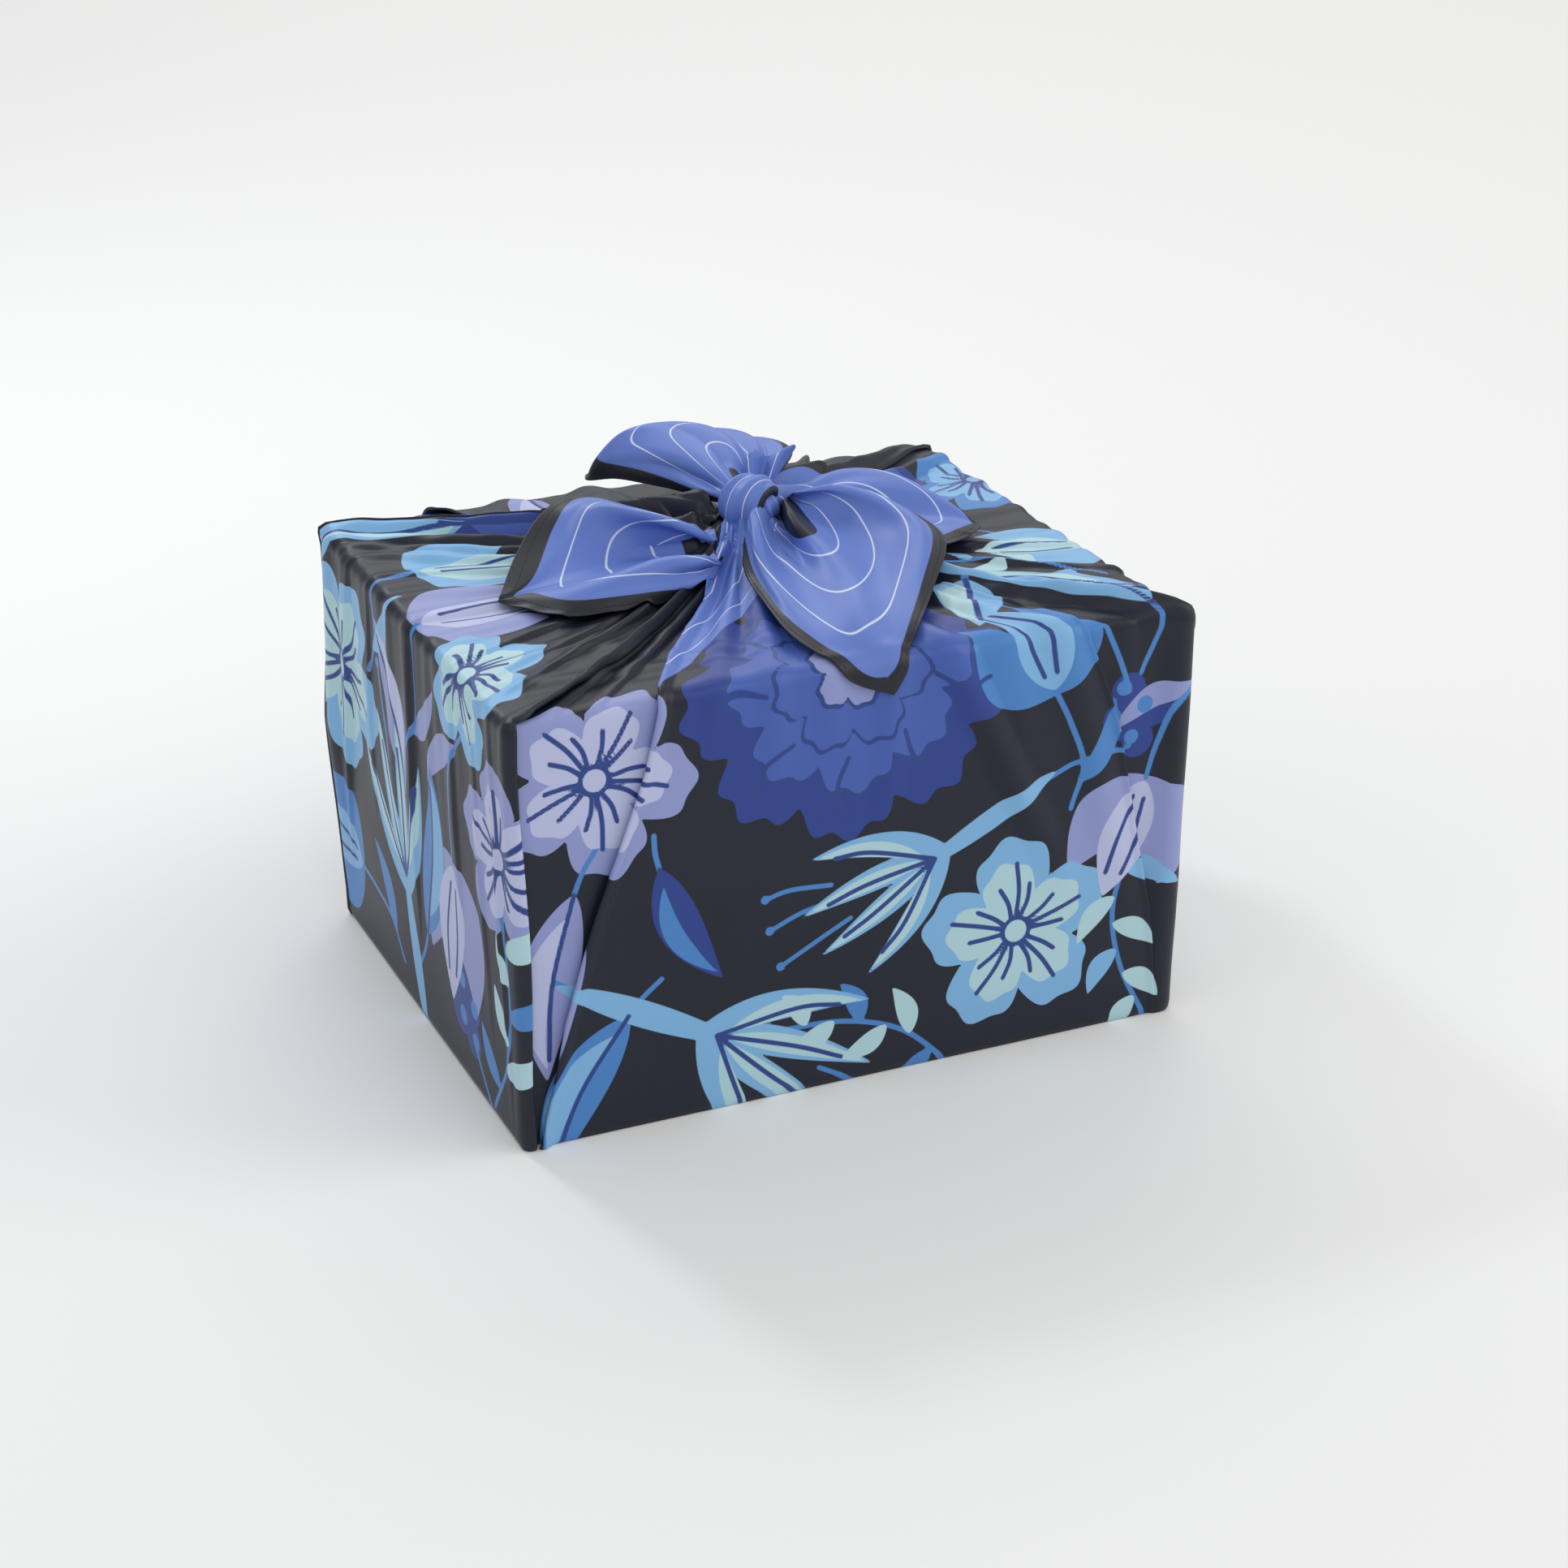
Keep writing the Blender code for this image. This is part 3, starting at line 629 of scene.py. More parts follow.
@dataclass
class FloralPrint:
    """The flat printed flowers, as one distance field for each colour over the cloth's flat frame."""

    motifs: tuple[Motif, ...] = MOTIFS
    stem_half: float = 1.1
    vein_half: float = 1.0
    reach: float = 2.2

    def fields(self, flat: np.ndarray) -> dict[Tone, np.ndarray]:
        """Distance to the print of each colour, negative inside it.

        Args:
            flat: Flat places on the cloth, in millimetres.

        Returns:
            The distances for each colour.
        """
        found = {tone: np.full(len(flat), FAR) for tone in Tone}
        for motif in self.motifs:
            reach = self.reach * motif.size
            near = np.abs(flat - np.array([motif.x, motif.y])).max(axis=1) < reach
            if not near.any():
                continue
            draw = getattr(self, motif.kind)
            for tone, distance in draw(Local(flat[near], motif), motif):
                found[tone][near] = np.minimum(found[tone][near], distance)
        return found

    def blossom(self, local: Local, motif: Motif) -> Shapes:
        """An open flower of five round petals with veins and a ring of seeds.

        Args:
            local: The flat frame seen from the figure.
            motif: The figure.

        Returns:
            The tone of each shape in it, and the distance to the shape.
        """
        shapes = [
            (motif.base, local.petals(5, 1.0, 0.38, 0.0)),
            (motif.inner, local.petals(5, 0.74, 0.42, 6.0)),
        ]
        for petal in range(5):
            angle = math.radians(72.0 * petal)
            for spread in (-0.3, 0.05, 0.34):
                tip = angle + spread
                start = (0.15 * math.cos(tip), 0.15 * math.sin(tip))
                reach = 0.5 if abs(spread) > 0.1 else 0.72
                end = (reach * math.cos(tip), reach * math.sin(tip))
                middle = ((start[0] + end[0]) / 2 + 0.02, (start[1] + end[1]) / 2 - 0.02)
                shapes.append((Tone.DEEP_LINE, local.line([start, middle, end], self.vein_half)))
        ring = np.abs(local.disc(0.0, 0.0, 0.14)) - self.vein_half
        shapes.append((Tone.DEEP_LINE, ring))
        return shapes

    def dahlia(self, local: Local, motif: Motif) -> Shapes:
        """A full flower of many petals in rings, each ring drawn with a line.

        Args:
            local: The flat frame seen from the figure.
            motif: The figure.

        Returns:
            The tone of each shape in it, and the distance to the shape.
        """
        middle = local.petals(8, 0.74, 0.2, 14.0)
        inner = local.petals(7, 0.48, 0.26, 0.0)
        heart = local.petals(5, 0.24, 0.3, 20.0)
        shapes = [
            (motif.base, local.petals(9, 1.0, 0.16, 0.0)),
            (motif.inner, middle),
            (Tone.LAVENDER, heart),
        ]
        for ring in (middle, inner, heart):
            shapes.append((Tone.DEEP_LINE, np.abs(ring) - self.vein_half))
        for petal in range(9):
            angle = math.radians(40.0 * petal)
            start = (0.52 * math.cos(angle), 0.52 * math.sin(angle))
            bend = (0.7 * math.cos(angle + 0.08), 0.7 * math.sin(angle + 0.08))
            end = (0.86 * math.cos(angle), 0.86 * math.sin(angle))
            shapes.append((Tone.DEEP_LINE, local.line([start, bend, end], self.vein_half)))
        return shapes

    def lily(self, local: Local, motif: Motif) -> Shapes:
        """A trumpet flower with slender petals and long stamens, on a narrow tube.

        Args:
            local: The flat frame seen from the figure.
            motif: The figure.

        Returns:
            The tone of each shape in it, and the distance to the shape.
        """
        shapes = [
            (Tone.MID_BLUE, local.line([(-1.5, -0.2), (-1.2, -0.05), (-0.8, 0.0)], self.stem_half)),
            (motif.base, local.leaf((-0.98, 0.0), (0.3, 0.0), 0.075, 0.0)),
        ]
        petals = ((0.74, 0.56, 0.07), (0.98, 0.24, 0.03), (1.0, -0.1, -0.02), (0.8, -0.44, -0.06))
        for u, v, bend in petals:
            shapes.append((motif.base, local.leaf((-0.1, 0.0), (u, v), 0.088, bend)))
            end = (0.96 * u, 0.96 * v)
            shapes.append((motif.inner, local.leaf((0.08, 0.1 * v), end, 0.055, bend)))
            vein = [(0.02, 0.0), (0.5 * u, 0.5 * v + 0.8 * bend), (0.8 * u, 0.82 * v)]
            shapes.append((Tone.DEEP_LINE, local.line(vein, self.vein_half)))
        for u, v in ((1.2, 0.3), (1.26, 0.02), (1.12, 0.52)):
            stamen = [(0.7, 0.6 * v), (0.95, 0.9 * v), (u, v)]
            shapes.append((Tone.MID_BLUE, local.line(stamen, self.vein_half)))
            shapes.append((Tone.MID_BLUE, local.disc(u, v, 0.032)))
        return shapes

    def tulip(self, local: Local, motif: Motif) -> Shapes:
        """A cup flower seen from the side, on a curved stem with one leaf.

        Args:
            local: The flat frame seen from the figure.
            motif: The figure.

        Returns:
            The tone of each shape in it, and the distance to the shape.
        """
        stem = [(-1.0, -0.18), (-0.7, 0.02), (-0.3, 0.03), (0.0, 0.0)]
        return [
            (Tone.MID_BLUE, local.line(stem, self.stem_half)),
            (motif.base, local.leaf((-0.02, 0.0), (0.86, 0.42), 0.26, 0.1)),
            (motif.base, local.leaf((-0.02, 0.0), (0.82, -0.44), 0.26, -0.1)),
            (motif.base, local.disc(0.2, 0.0, 0.2)),
            (motif.inner, local.leaf((0.02, 0.0), (1.0, 0.02), 0.23, 0.02)),
            (Tone.DEEP_LINE, local.line([(0.16, 0.05), (0.5, 0.1), (0.8, 0.08)], self.vein_half)),
            (Tone.DEEP_LINE, local.line([(0.16, -0.05), (0.5, -0.08), (0.78, -0.05)], self.vein_half)),
            (motif.base, local.leaf((-0.82, -0.06), (-0.3, 0.46), 0.1, 0.08)),
        ]

    def leaf(self, local: Local, motif: Motif) -> Shapes:
        """One long leaf with a paler half and a midrib.

        Args:
            local: The flat frame seen from the figure.
            motif: The figure.

        Returns:
            The tone of each shape in it, and the distance to the shape.
        """
        return [
            (motif.base, local.leaf((-0.8, 0.0), (0.9, 0.1), 0.26, 0.12)),
            (motif.inner, local.leaf((-0.6, 0.04), (0.8, 0.1), 0.13, 0.2)),
            (Tone.DEEP_LINE, local.line([(-0.8, 0.0), (0.0, 0.13), (0.7, 0.1)], self.vein_half)),
            (Tone.MID_BLUE, local.line([(-1.2, -0.16), (-1.0, -0.06), (-0.8, 0.0)], self.stem_half)),
        ]

    def sprig(self, local: Local, motif: Motif) -> Shapes:
        """A curved stem with leaves on both sides.

        Args:
            local: The flat frame seen from the figure.
            motif: The figure.

        Returns:
            The tone of each shape in it, and the distance to the shape.
        """
        spine = [(-1.0, -0.2), (-0.4, 0.05), (0.2, 0.05), (0.8, -0.12)]
        shapes = [(Tone.MID_BLUE, local.line(spine, self.stem_half))]
        for step, (u, v) in enumerate(curve_through(np.array(spine), np.linspace(0.14, 1.0, 7))):
            hand = 1 if step % 2 else -1
            end = (u + 0.34, v + hand * (0.44 - 0.04 * step))
            tone = motif.inner if step % 3 else motif.base
            shapes.append((tone, local.leaf((u, v), end, 0.1, 0.05 * hand)))
        return shapes

    def berries(self, local: Local, motif: Motif) -> Shapes:
        """A hanging bunch of round berries.

        Args:
            local: The flat frame seen from the figure.
            motif: The figure.

        Returns:
            The tone of each shape in it, and the distance to the shape.
        """
        stem = [(-1.4, 0.3), (-0.6, 0.1), (0.0, 0.0)]
        bunch = ((0.0, 0.0, 0.3), (0.42, 0.24, 0.32), (0.4, -0.32, 0.34), (0.86, -0.02, 0.3))
        shapes = [(Tone.MID_BLUE, local.line(stem, self.stem_half))]
        for u, v, radius in bunch:
            shapes.append((motif.base, local.disc(u, v, radius)))
            shapes.append((motif.inner, local.disc(u - 0.08, v + 0.08, radius * 0.42)))
        return shapes


def sheet_from_rows(name: str, rows: np.ndarray) -> bpy.types.Object:
    """A sheet of quads over a grid of points.

    Args:
        name: Name of the new piece.
        rows: Points in millimetres, rows by columns by three.

    Returns:
        The new piece, with its place in its mesh.
    """
    down, across = rows.shape[:2]
    bpy.ops.mesh.primitive_grid_add(x_subdivisions=across - 1, y_subdivisions=down - 1, size=2.0)
    sheet = bpy.context.object
    rename(sheet, name)
    grid = points_of(sheet)
    column = np.rint((grid[:, 0] + 1) / 2 * (across - 1)).astype(int)
    row = np.rint((1 - grid[:, 1]) / 2 * (down - 1)).astype(int)
    move_points(sheet, rows[row, column])
    keep_values(sheet, {"grid_place": row * across + column})
    return sheet


def paint(piece: bpy.types.Object, fields: dict[str, np.ndarray]) -> None:
    """Keep values of each point of a grid on its sheet, for the material to read.

    Args:
        piece: A sheet made over a grid.
        fields: Values in grid order, by name.
    """
    mesh = piece.data
    order = np.empty(len(mesh.vertices), np.float32)
    mesh.attributes["grid_place"].data.foreach_get("value", order)
    order = np.rint(order).astype(int)
    keep_values(piece, {name: values.ravel()[order] for name, values in fields.items()})


@dataclass(frozen=True)
class LapShape:
    """One lap of the cloth: the side it climbs, its edges, and how it lies over the laps below.

    Each border is a run up the side and over the top, and the places of both edges there, in millimetres.
    """

    name: str
    side: Side
    borders: tuple[tuple[float, float, float], ...]
    lift: float
    pitch: float
    low_lip: float = 0.0
    high_lip: float = 0.0
    neck_rise: float = 0.0
    neck_pleats: int = 0
    blue_edge: bool = False

    @property
    def flat_size(self) -> tuple[float, float]:
        """Width and length of the lap when it is spread flat, in metres."""
        return max(high - low for _, low, high in self.borders) * MM, self.borders[-1][0] * MM


LAPS = (
    LapShape(
        "right_lap",
        Side.RIGHT,
        (
            (0.0, -116.0, 116.0), (178.0, -117.0, 117.0), (202.0, -104.0, 100.0), (236.0, -76.0, 74.0),
            (262.0, -48.0, 46.0), (300.0, -16.0, 18.0), (319.0, -5.0, 6.0),
        ),
        lift=0.2, pitch=1.5,
    ),
    LapShape(
        "back_under_lap",
        Side.BACK,
        (
            (0.0, -143.0, 143.0), (178.0, -143.0, 143.0), (190.0, -126.0, 126.0), (230.0, -72.0, 80.0),
            (262.0, -36.0, 44.0), (289.0, -9.0, 11.0),
        ),
        lift=0.6, pitch=2.0, low_lip=1.0, high_lip=1.0,
    ),
    LapShape(
        "front_under_lap",
        Side.FRONT,
        (
            (0.0, -141.0, 143.0), (178.0, -142.0, 143.0), (190.0, -122.0, 121.0), (219.0, -86.0, 86.0),
            (247.0, -54.0, 64.0), (287.0, -14.0, 12.0),
        ),
        lift=0.7, pitch=1.3, high_lip=2.8,
    ),
    LapShape(
        "left_lap",
        Side.LEFT,
        (
            (0.0, -115.5, 116.0), (178.0, -116.5, 117.0), (205.0, -101.0, 99.0), (243.0, -71.0, 66.0),
            (281.0, -37.0, 34.0), (312.0, -6.0, 8.0),
        ),
        lift=1.8, pitch=1.2, low_lip=1.4,
    ),
    LapShape(
        "back_lap",
        Side.BACK,
        (
            (0.0, -136.0, 134.0), (60.0, -130.0, 120.0), (96.0, -122.0, 108.0), (150.0, -107.0, 89.0),
            (178.0, -96.0, 82.0), (211.0, -76.0, 63.0), (249.0, -56.0, 35.0), (289.0, -12.0, 8.0),
        ),
        lift=2.2, pitch=1.5, low_lip=0.8, high_lip=1.2, neck_rise=3.0, neck_pleats=5,
    ),
    LapShape(
        "front_lap",
        Side.FRONT,
        (
            (0.0, -134.0, 136.5), (52.0, -122.0, 131.0), (96.0, -108.0, 122.0), (133.0, -95.0, 113.0),
            (150.0, -89.0, 107.0), (178.0, -82.0, 96.0), (211.0, -62.0, 77.0), (249.0, -33.0, 54.0),
            (289.0, -9.0, 12.0),
        ),
        lift=2.6, pitch=1.1, low_lip=1.2, high_lip=0.5, neck_rise=5.0, neck_pleats=6, blue_edge=True,
    ),
)


@dataclass
class Gathers:
    """The fine pleats that run into the knots, and the slight unevenness of soft cloth."""

    reach: float = 92.0
    height: float = 1.5
    unevenness: float = 0.35
    fade_share: float = 0.75
    clear_of_knots: float = 14.0
    broad_count: int = 19
    fine_count: int = 43
    top_from: float = 172.0
    top_blend: float = 6.0
    edge_height: float = 178.0
    hang: float = 120.0
    long_wall: float = 112.0
    long_wall_streaks: float = 0.1
    end_wall_streaks: float = 0.32

    def relief(self, points: np.ndarray) -> np.ndarray:
        """How far pleats and slight waves lift the cloth.

        Args:
            points: Points of the plain block.

        Returns:
            The lift at each point.
        """
        x, y, z = points.T
        radius = np.hypot(x, y)
        angle = np.arctan2(y, x)
        near = smooth_step((self.reach - radius) / (self.fade_share * self.reach))
        near = near * smooth_step(radius / self.clear_of_knots)
        broad = np.cos(self.broad_count * angle + 1.3 * np.sin(3 * angle))
        fine = np.cos(self.fine_count * angle + 2.0 * np.cos(5 * angle) + 0.02 * radius)
        patchy = 0.55 + 0.45 * np.sin(5 * angle + 0.6)
        on_top = smooth_step((z - self.top_from) / self.top_blend)
        pleats = self.height * near * on_top * patchy * (0.7 * broad + 0.45 * fine)
        down = np.clip((self.edge_height - z) / self.hang, 0.0, 1.0)
        on_long_wall = np.abs(y) > self.long_wall
        along = np.where(on_long_wall, x, y)
        streaks = np.cos(0.31 * along + 1.1 * np.sin(0.06 * along)) + 0.6 * np.cos(0.53 * along + 0.9)
        strength = np.where(on_long_wall, self.long_wall_streaks, self.end_wall_streaks)
        open_top = 1 - on_top * smooth_step((95 - radius) / 60)
        hung = strength * streaks * (1 - smooth_step(down * 1.4)) * open_top
        waves = np.sin(0.052 * x + 0.037 * z + 1.0) * np.sin(0.061 * y - 0.043 * z + 0.5)
        return pleats + hung + self.unevenness * waves


@dataclass
class Lap:
    """A lap of the printed cloth, laid over the block from the base up to the knots."""

    shape: LapShape
    drape: Drape
    gathers: Gathers
    motifs: FloralPrint
    first_run: float = 1.2
    wander: float = 0.8
    lip_reach: float = 5.0
    tuck: float = 3.0
    drawn_in: float = 0.86
    neck_start: float = 20.0
    neck_run: float = 70.0
    pleat_height: float = 0.9
    pleat_run: float = 60.0
    corner_start: float = 14.0

    def to_knots(self) -> float:
        """The run from the top edge to the knots."""
        block = self.drape.block
        return block.half_width_top if self.shape.side.long else block.half_length_top

    def plain_points(self, across: np.ndarray, run: np.ndarray) -> np.ndarray:
        """Points of the plain block under the lap.

        Args:
            across: Places across the side.
            run: Runs up from the base and then over the top.

        Returns:
            One point for each pair.
        """
        block = self.drape.block
        height = np.minimum(run, block.height)
        inward = np.maximum(run - block.height, 0.0)
        length, width = block.half_sizes(height)
        wide, deep = (length, width) if self.shape.side.long else (width, length)
        past = np.maximum(np.abs(across) - wide, 0.0)
        lateral = np.clip(across, -wide, wide)
        outward = deep - inward - past
        places = {
            Side.FRONT: (lateral, -outward, height),
            Side.BACK: (lateral, outward, height),
            Side.LEFT: (-outward, lateral, height),
            Side.RIGHT: (outward, lateral, height),
        }
        return np.stack(places[self.shape.side], axis=1)

    def flat_places(self, across: np.ndarray, run: np.ndarray) -> np.ndarray:
        """Where the cloth over a place lies when it is spread flat.

        Args:
            across: Places across the side.
            run: Runs up from the base and then over the top.

        Returns:
            The flat places.
        """
        deep = self.to_knots()
        gathered = np.clip((run - self.drape.block.height) / deep, 0.0, 1.0)
        spread = across / (1.0 - self.drawn_in * gathered)
        out = deep + run
        places = {
            Side.FRONT: (spread, -out),
            Side.BACK: (spread, out),
            Side.LEFT: (-out, spread),
            Side.RIGHT: (out, spread),
        }
        return np.stack(places[self.shape.side], axis=1)

    def build(self) -> bpy.types.Object:
        """Make the lap, with its rolled edges and its print.

        Returns:
            The finished piece.
        """
        shape = self.shape
        runs, lows, highs = np.array(shape.borders).T
        run = np.linspace(self.first_run, runs[-1], int(runs[-1] / shape.pitch))
        wander = self.wander * np.sin(0.045 * run + 1.0) * smooth_step(run / 40.0)
        low = np.interp(run, runs, lows) + wander
        high = np.interp(run, runs, highs) + wander
        share = np.linspace(0.0, 1.0, int((highs - lows).max() / shape.pitch))
        middle = low[:, None] + (high - low)[:, None] * share
        swell = self.lip_swell(middle - low[:, None], shape.low_lip)
        swell += self.lip_swell(high[:, None] - middle, shape.high_lip)
        swell += self.neck(share, run)
        parts_across = [middle]
        parts_lift = [shape.lift + swell]
        if shape.low_lip:
            across, lift = self.roll(low, shape.low_lip, -1)
            parts_across.insert(0, across[:, ::-1])
            parts_lift.insert(0, lift[:, ::-1])
        if shape.high_lip:
            across, lift = self.roll(high, shape.high_lip, 1)
            parts_across.append(across)
            parts_lift.append(lift)
        across = np.hstack(parts_across)
        lift = np.hstack(parts_lift)
        run = np.broadcast_to(run[:, None], across.shape)
        plain = self.plain_points(across.ravel(), run.ravel())
        relief = self.gathers.relief(plain)
        placed = self.drape.place(plain, lift.ravel() + relief)
        piece = sheet_from_rows(shape.name, placed.reshape(*across.shape, 3))
        flat = self.flat_places(across.ravel(), run.ravel())
        fields = {tone.value: value for tone, value in self.motifs.fields(flat).items()}
        fields["corner"] = self.corner_offset(across - low[:, None], run).ravel()
        fields["rim"] = np.full(len(plain), FAR)
        paint(piece, fields)
        return piece

    def lip_swell(self, distance: np.ndarray, radius: float) -> np.ndarray:
        """How far the cloth rises towards a rolled edge.

        Args:
            distance: Distance from the edge.
            radius: Radius of the roll.

        Returns:
            The rise.
        """
        return 2 * radius * (1 - smooth_step(distance / (self.lip_reach * radius + 0.1)))

    def roll(self, edge: np.ndarray, radius: float, hand: int) -> tuple[np.ndarray, np.ndarray]:
        """The rolled edge of the lap and the strip tucked under it.

        Args:
            edge: Where the edge is on each row.
            radius: Radius of the roll.
            hand: 1 at the high edge, -1 at the low edge.

        Returns:
            Places across and lifts, one row each.
        """
        turn = np.radians(22.5 * np.arange(1, 9))
        out = np.append(radius * np.sin(turn), -self.tuck)
        rise = np.append(radius * (1 + np.cos(turn)), 0.0)
        across = edge[:, None] + hand * out
        lift = np.broadcast_to(self.shape.lift + rise, across.shape)
        return across, lift

    def neck(self, share: np.ndarray, run: np.ndarray) -> np.ndarray:
        """How far the lap rises, rounded and pleated, where it is drawn together near the knots.

        Args:
            share: Place across the lap, from 0 to 1.
            run: Runs up from the base and then over the top.

        Returns:
            The rise, one row for each run.
        """
        inward = (run - self.drape.block.height)[:, None]
        across = share[None, :]
        risen = self.shape.neck_rise * smooth_step((inward - self.neck_start) / self.neck_run)
        rounded = risen * (1 - (2 * across - 1) ** 2)
        pleats = np.cos(2 * math.pi * (self.shape.neck_pleats * across + 0.3 * np.sin(6 * across)))
        drawn = smooth_step((inward + 4.0) / self.pleat_run) * np.minimum(1.0, 8 * across * (1 - across))
        return rounded + (self.pleat_height if self.shape.neck_pleats else 0.0) * drawn * pleats

    def corner_offset(self, beside: np.ndarray, run: np.ndarray) -> np.ndarray:
        """How far in from the hem the cloth is, where its blue corner shows along the lap's low edge.

        Args:
            beside: Distance from the low edge.
            run: Runs up from the base and then over the top.

        Returns:
            The offset, large away from the corner.
        """
        if not self.shape.blue_edge:
            return np.full(beside.shape, NO_CORNER)
        inward = run - self.drape.block.height
        offset = self.corner_start + 1.1 * np.maximum(beside, 0.0) + 0.5 * np.maximum(75.0 - inward, 0.0)
        return np.where(inward > 0.0, offset, NO_CORNER)


@dataclass
class Underlay:
    """The cloth under the laps, over all of the block and beneath it."""

    drape: Drape
    cuts: int = 60
    drop: float = 1.6
    thickness: float = 0.5

    def build(self) -> bpy.types.Object:
        """Make the underlay from a cut-up cube.

        Returns:
            The finished piece.
        """
        bpy.ops.mesh.primitive_cube_add(size=2.0)
        piece = bpy.context.object
        rename(piece, "wrap_underlay")
        bpy.ops.object.mode_set(mode="EDIT")
        bpy.ops.mesh.select_all(action="SELECT")
        bpy.ops.mesh.subdivide(number_cuts=self.cuts)
        bpy.ops.object.mode_set(mode="OBJECT")
        points = points_of(piece)
        block = self.drape.block
        height = (points[:, 2] + 1) / 2 * block.height
        length, width = block.half_sizes(height)
        plain = np.stack([points[:, 0] * length, points[:, 1] * width, height], axis=1)
        move_points(piece, self.drape.place(plain, np.full(len(plain), -self.drop)))
        return piece


@dataclass(frozen=True)
class Mouth:
    """The gap that the gathered cloth leaves beside the knots, a long round hole, in millimetres."""

    centre: tuple[float, float] = (-18.0, 28.0)
    half_sizes: tuple[float, float] = (4.0, 6.4)
    lowest: float = 158.0
    rim_snap: float = 1.25
    rim_reach: float = 1.6

    def open(self, piece: bpy.types.Object) -> None:
        """Cut the hole in a sheet.

        Args:
            piece: The sheet.
        """
        points = points_of(piece) / MM
        x = points[:, 0] - self.centre[0]
        y = points[:, 1] - self.centre[1]
        high = points[:, 2] > self.lowest
        radius = np.hypot(x / self.half_sizes[0], y / self.half_sizes[1])
        inside = (radius < 1.0) & high
        if not inside.any():
            return
        rim = (radius >= 1.0) & (radius < self.rim_reach) & high
        spread = (self.rim_reach - 1) / (self.rim_reach - self.rim_snap)
        pulled = 1 + np.maximum(radius - self.rim_snap, 0.0) * spread
        scale = np.where(rim, pulled / np.maximum(radius, 1e-6), 1.0)
        points[:, 0] = self.centre[0] + x * scale
        points[:, 1] = self.centre[1] + y * scale
        move_points(piece, points)
        select_only(piece)
        bpy.ops.object.mode_set(mode="EDIT")
        bpy.ops.mesh.select_mode(type="VERT")
        bpy.ops.mesh.select_all(action="DESELECT")
        bpy.ops.object.mode_set(mode="OBJECT")
        piece.data.vertices.foreach_set("select", inside)
        bpy.ops.object.mode_set(mode="EDIT")
        bpy.ops.mesh.delete(type="VERT")
        bpy.ops.object.mode_set(mode="OBJECT")


Guide = tuple[tuple[float, float, float], ...]


@dataclass(frozen=True)
class TailShape:
    """The folded form of one free corner, as guide lines from hem to hem.

    Each line runs from the knot to the cloth's corner, in millimetres.
    """

    name: str
    guides: tuple[Guide, ...]
    lies_on: str
    reach: float
    pleats: float
    pleat_height: float
    pleat_reach: float
    loop_side: float = 22.0

    @property
    def hem(self) -> float:
        """Length of the hem on each side of the cloth's corner, or the side of a loop with no corner."""
        return self.reach * math.sqrt(2) if self.reach else self.loop_side

    @property
    def share(self) -> float:
        """How much of the square on the hem is cloth: half of it, since the knot cuts off a triangle."""
        return 0.5 if self.reach else 1.0


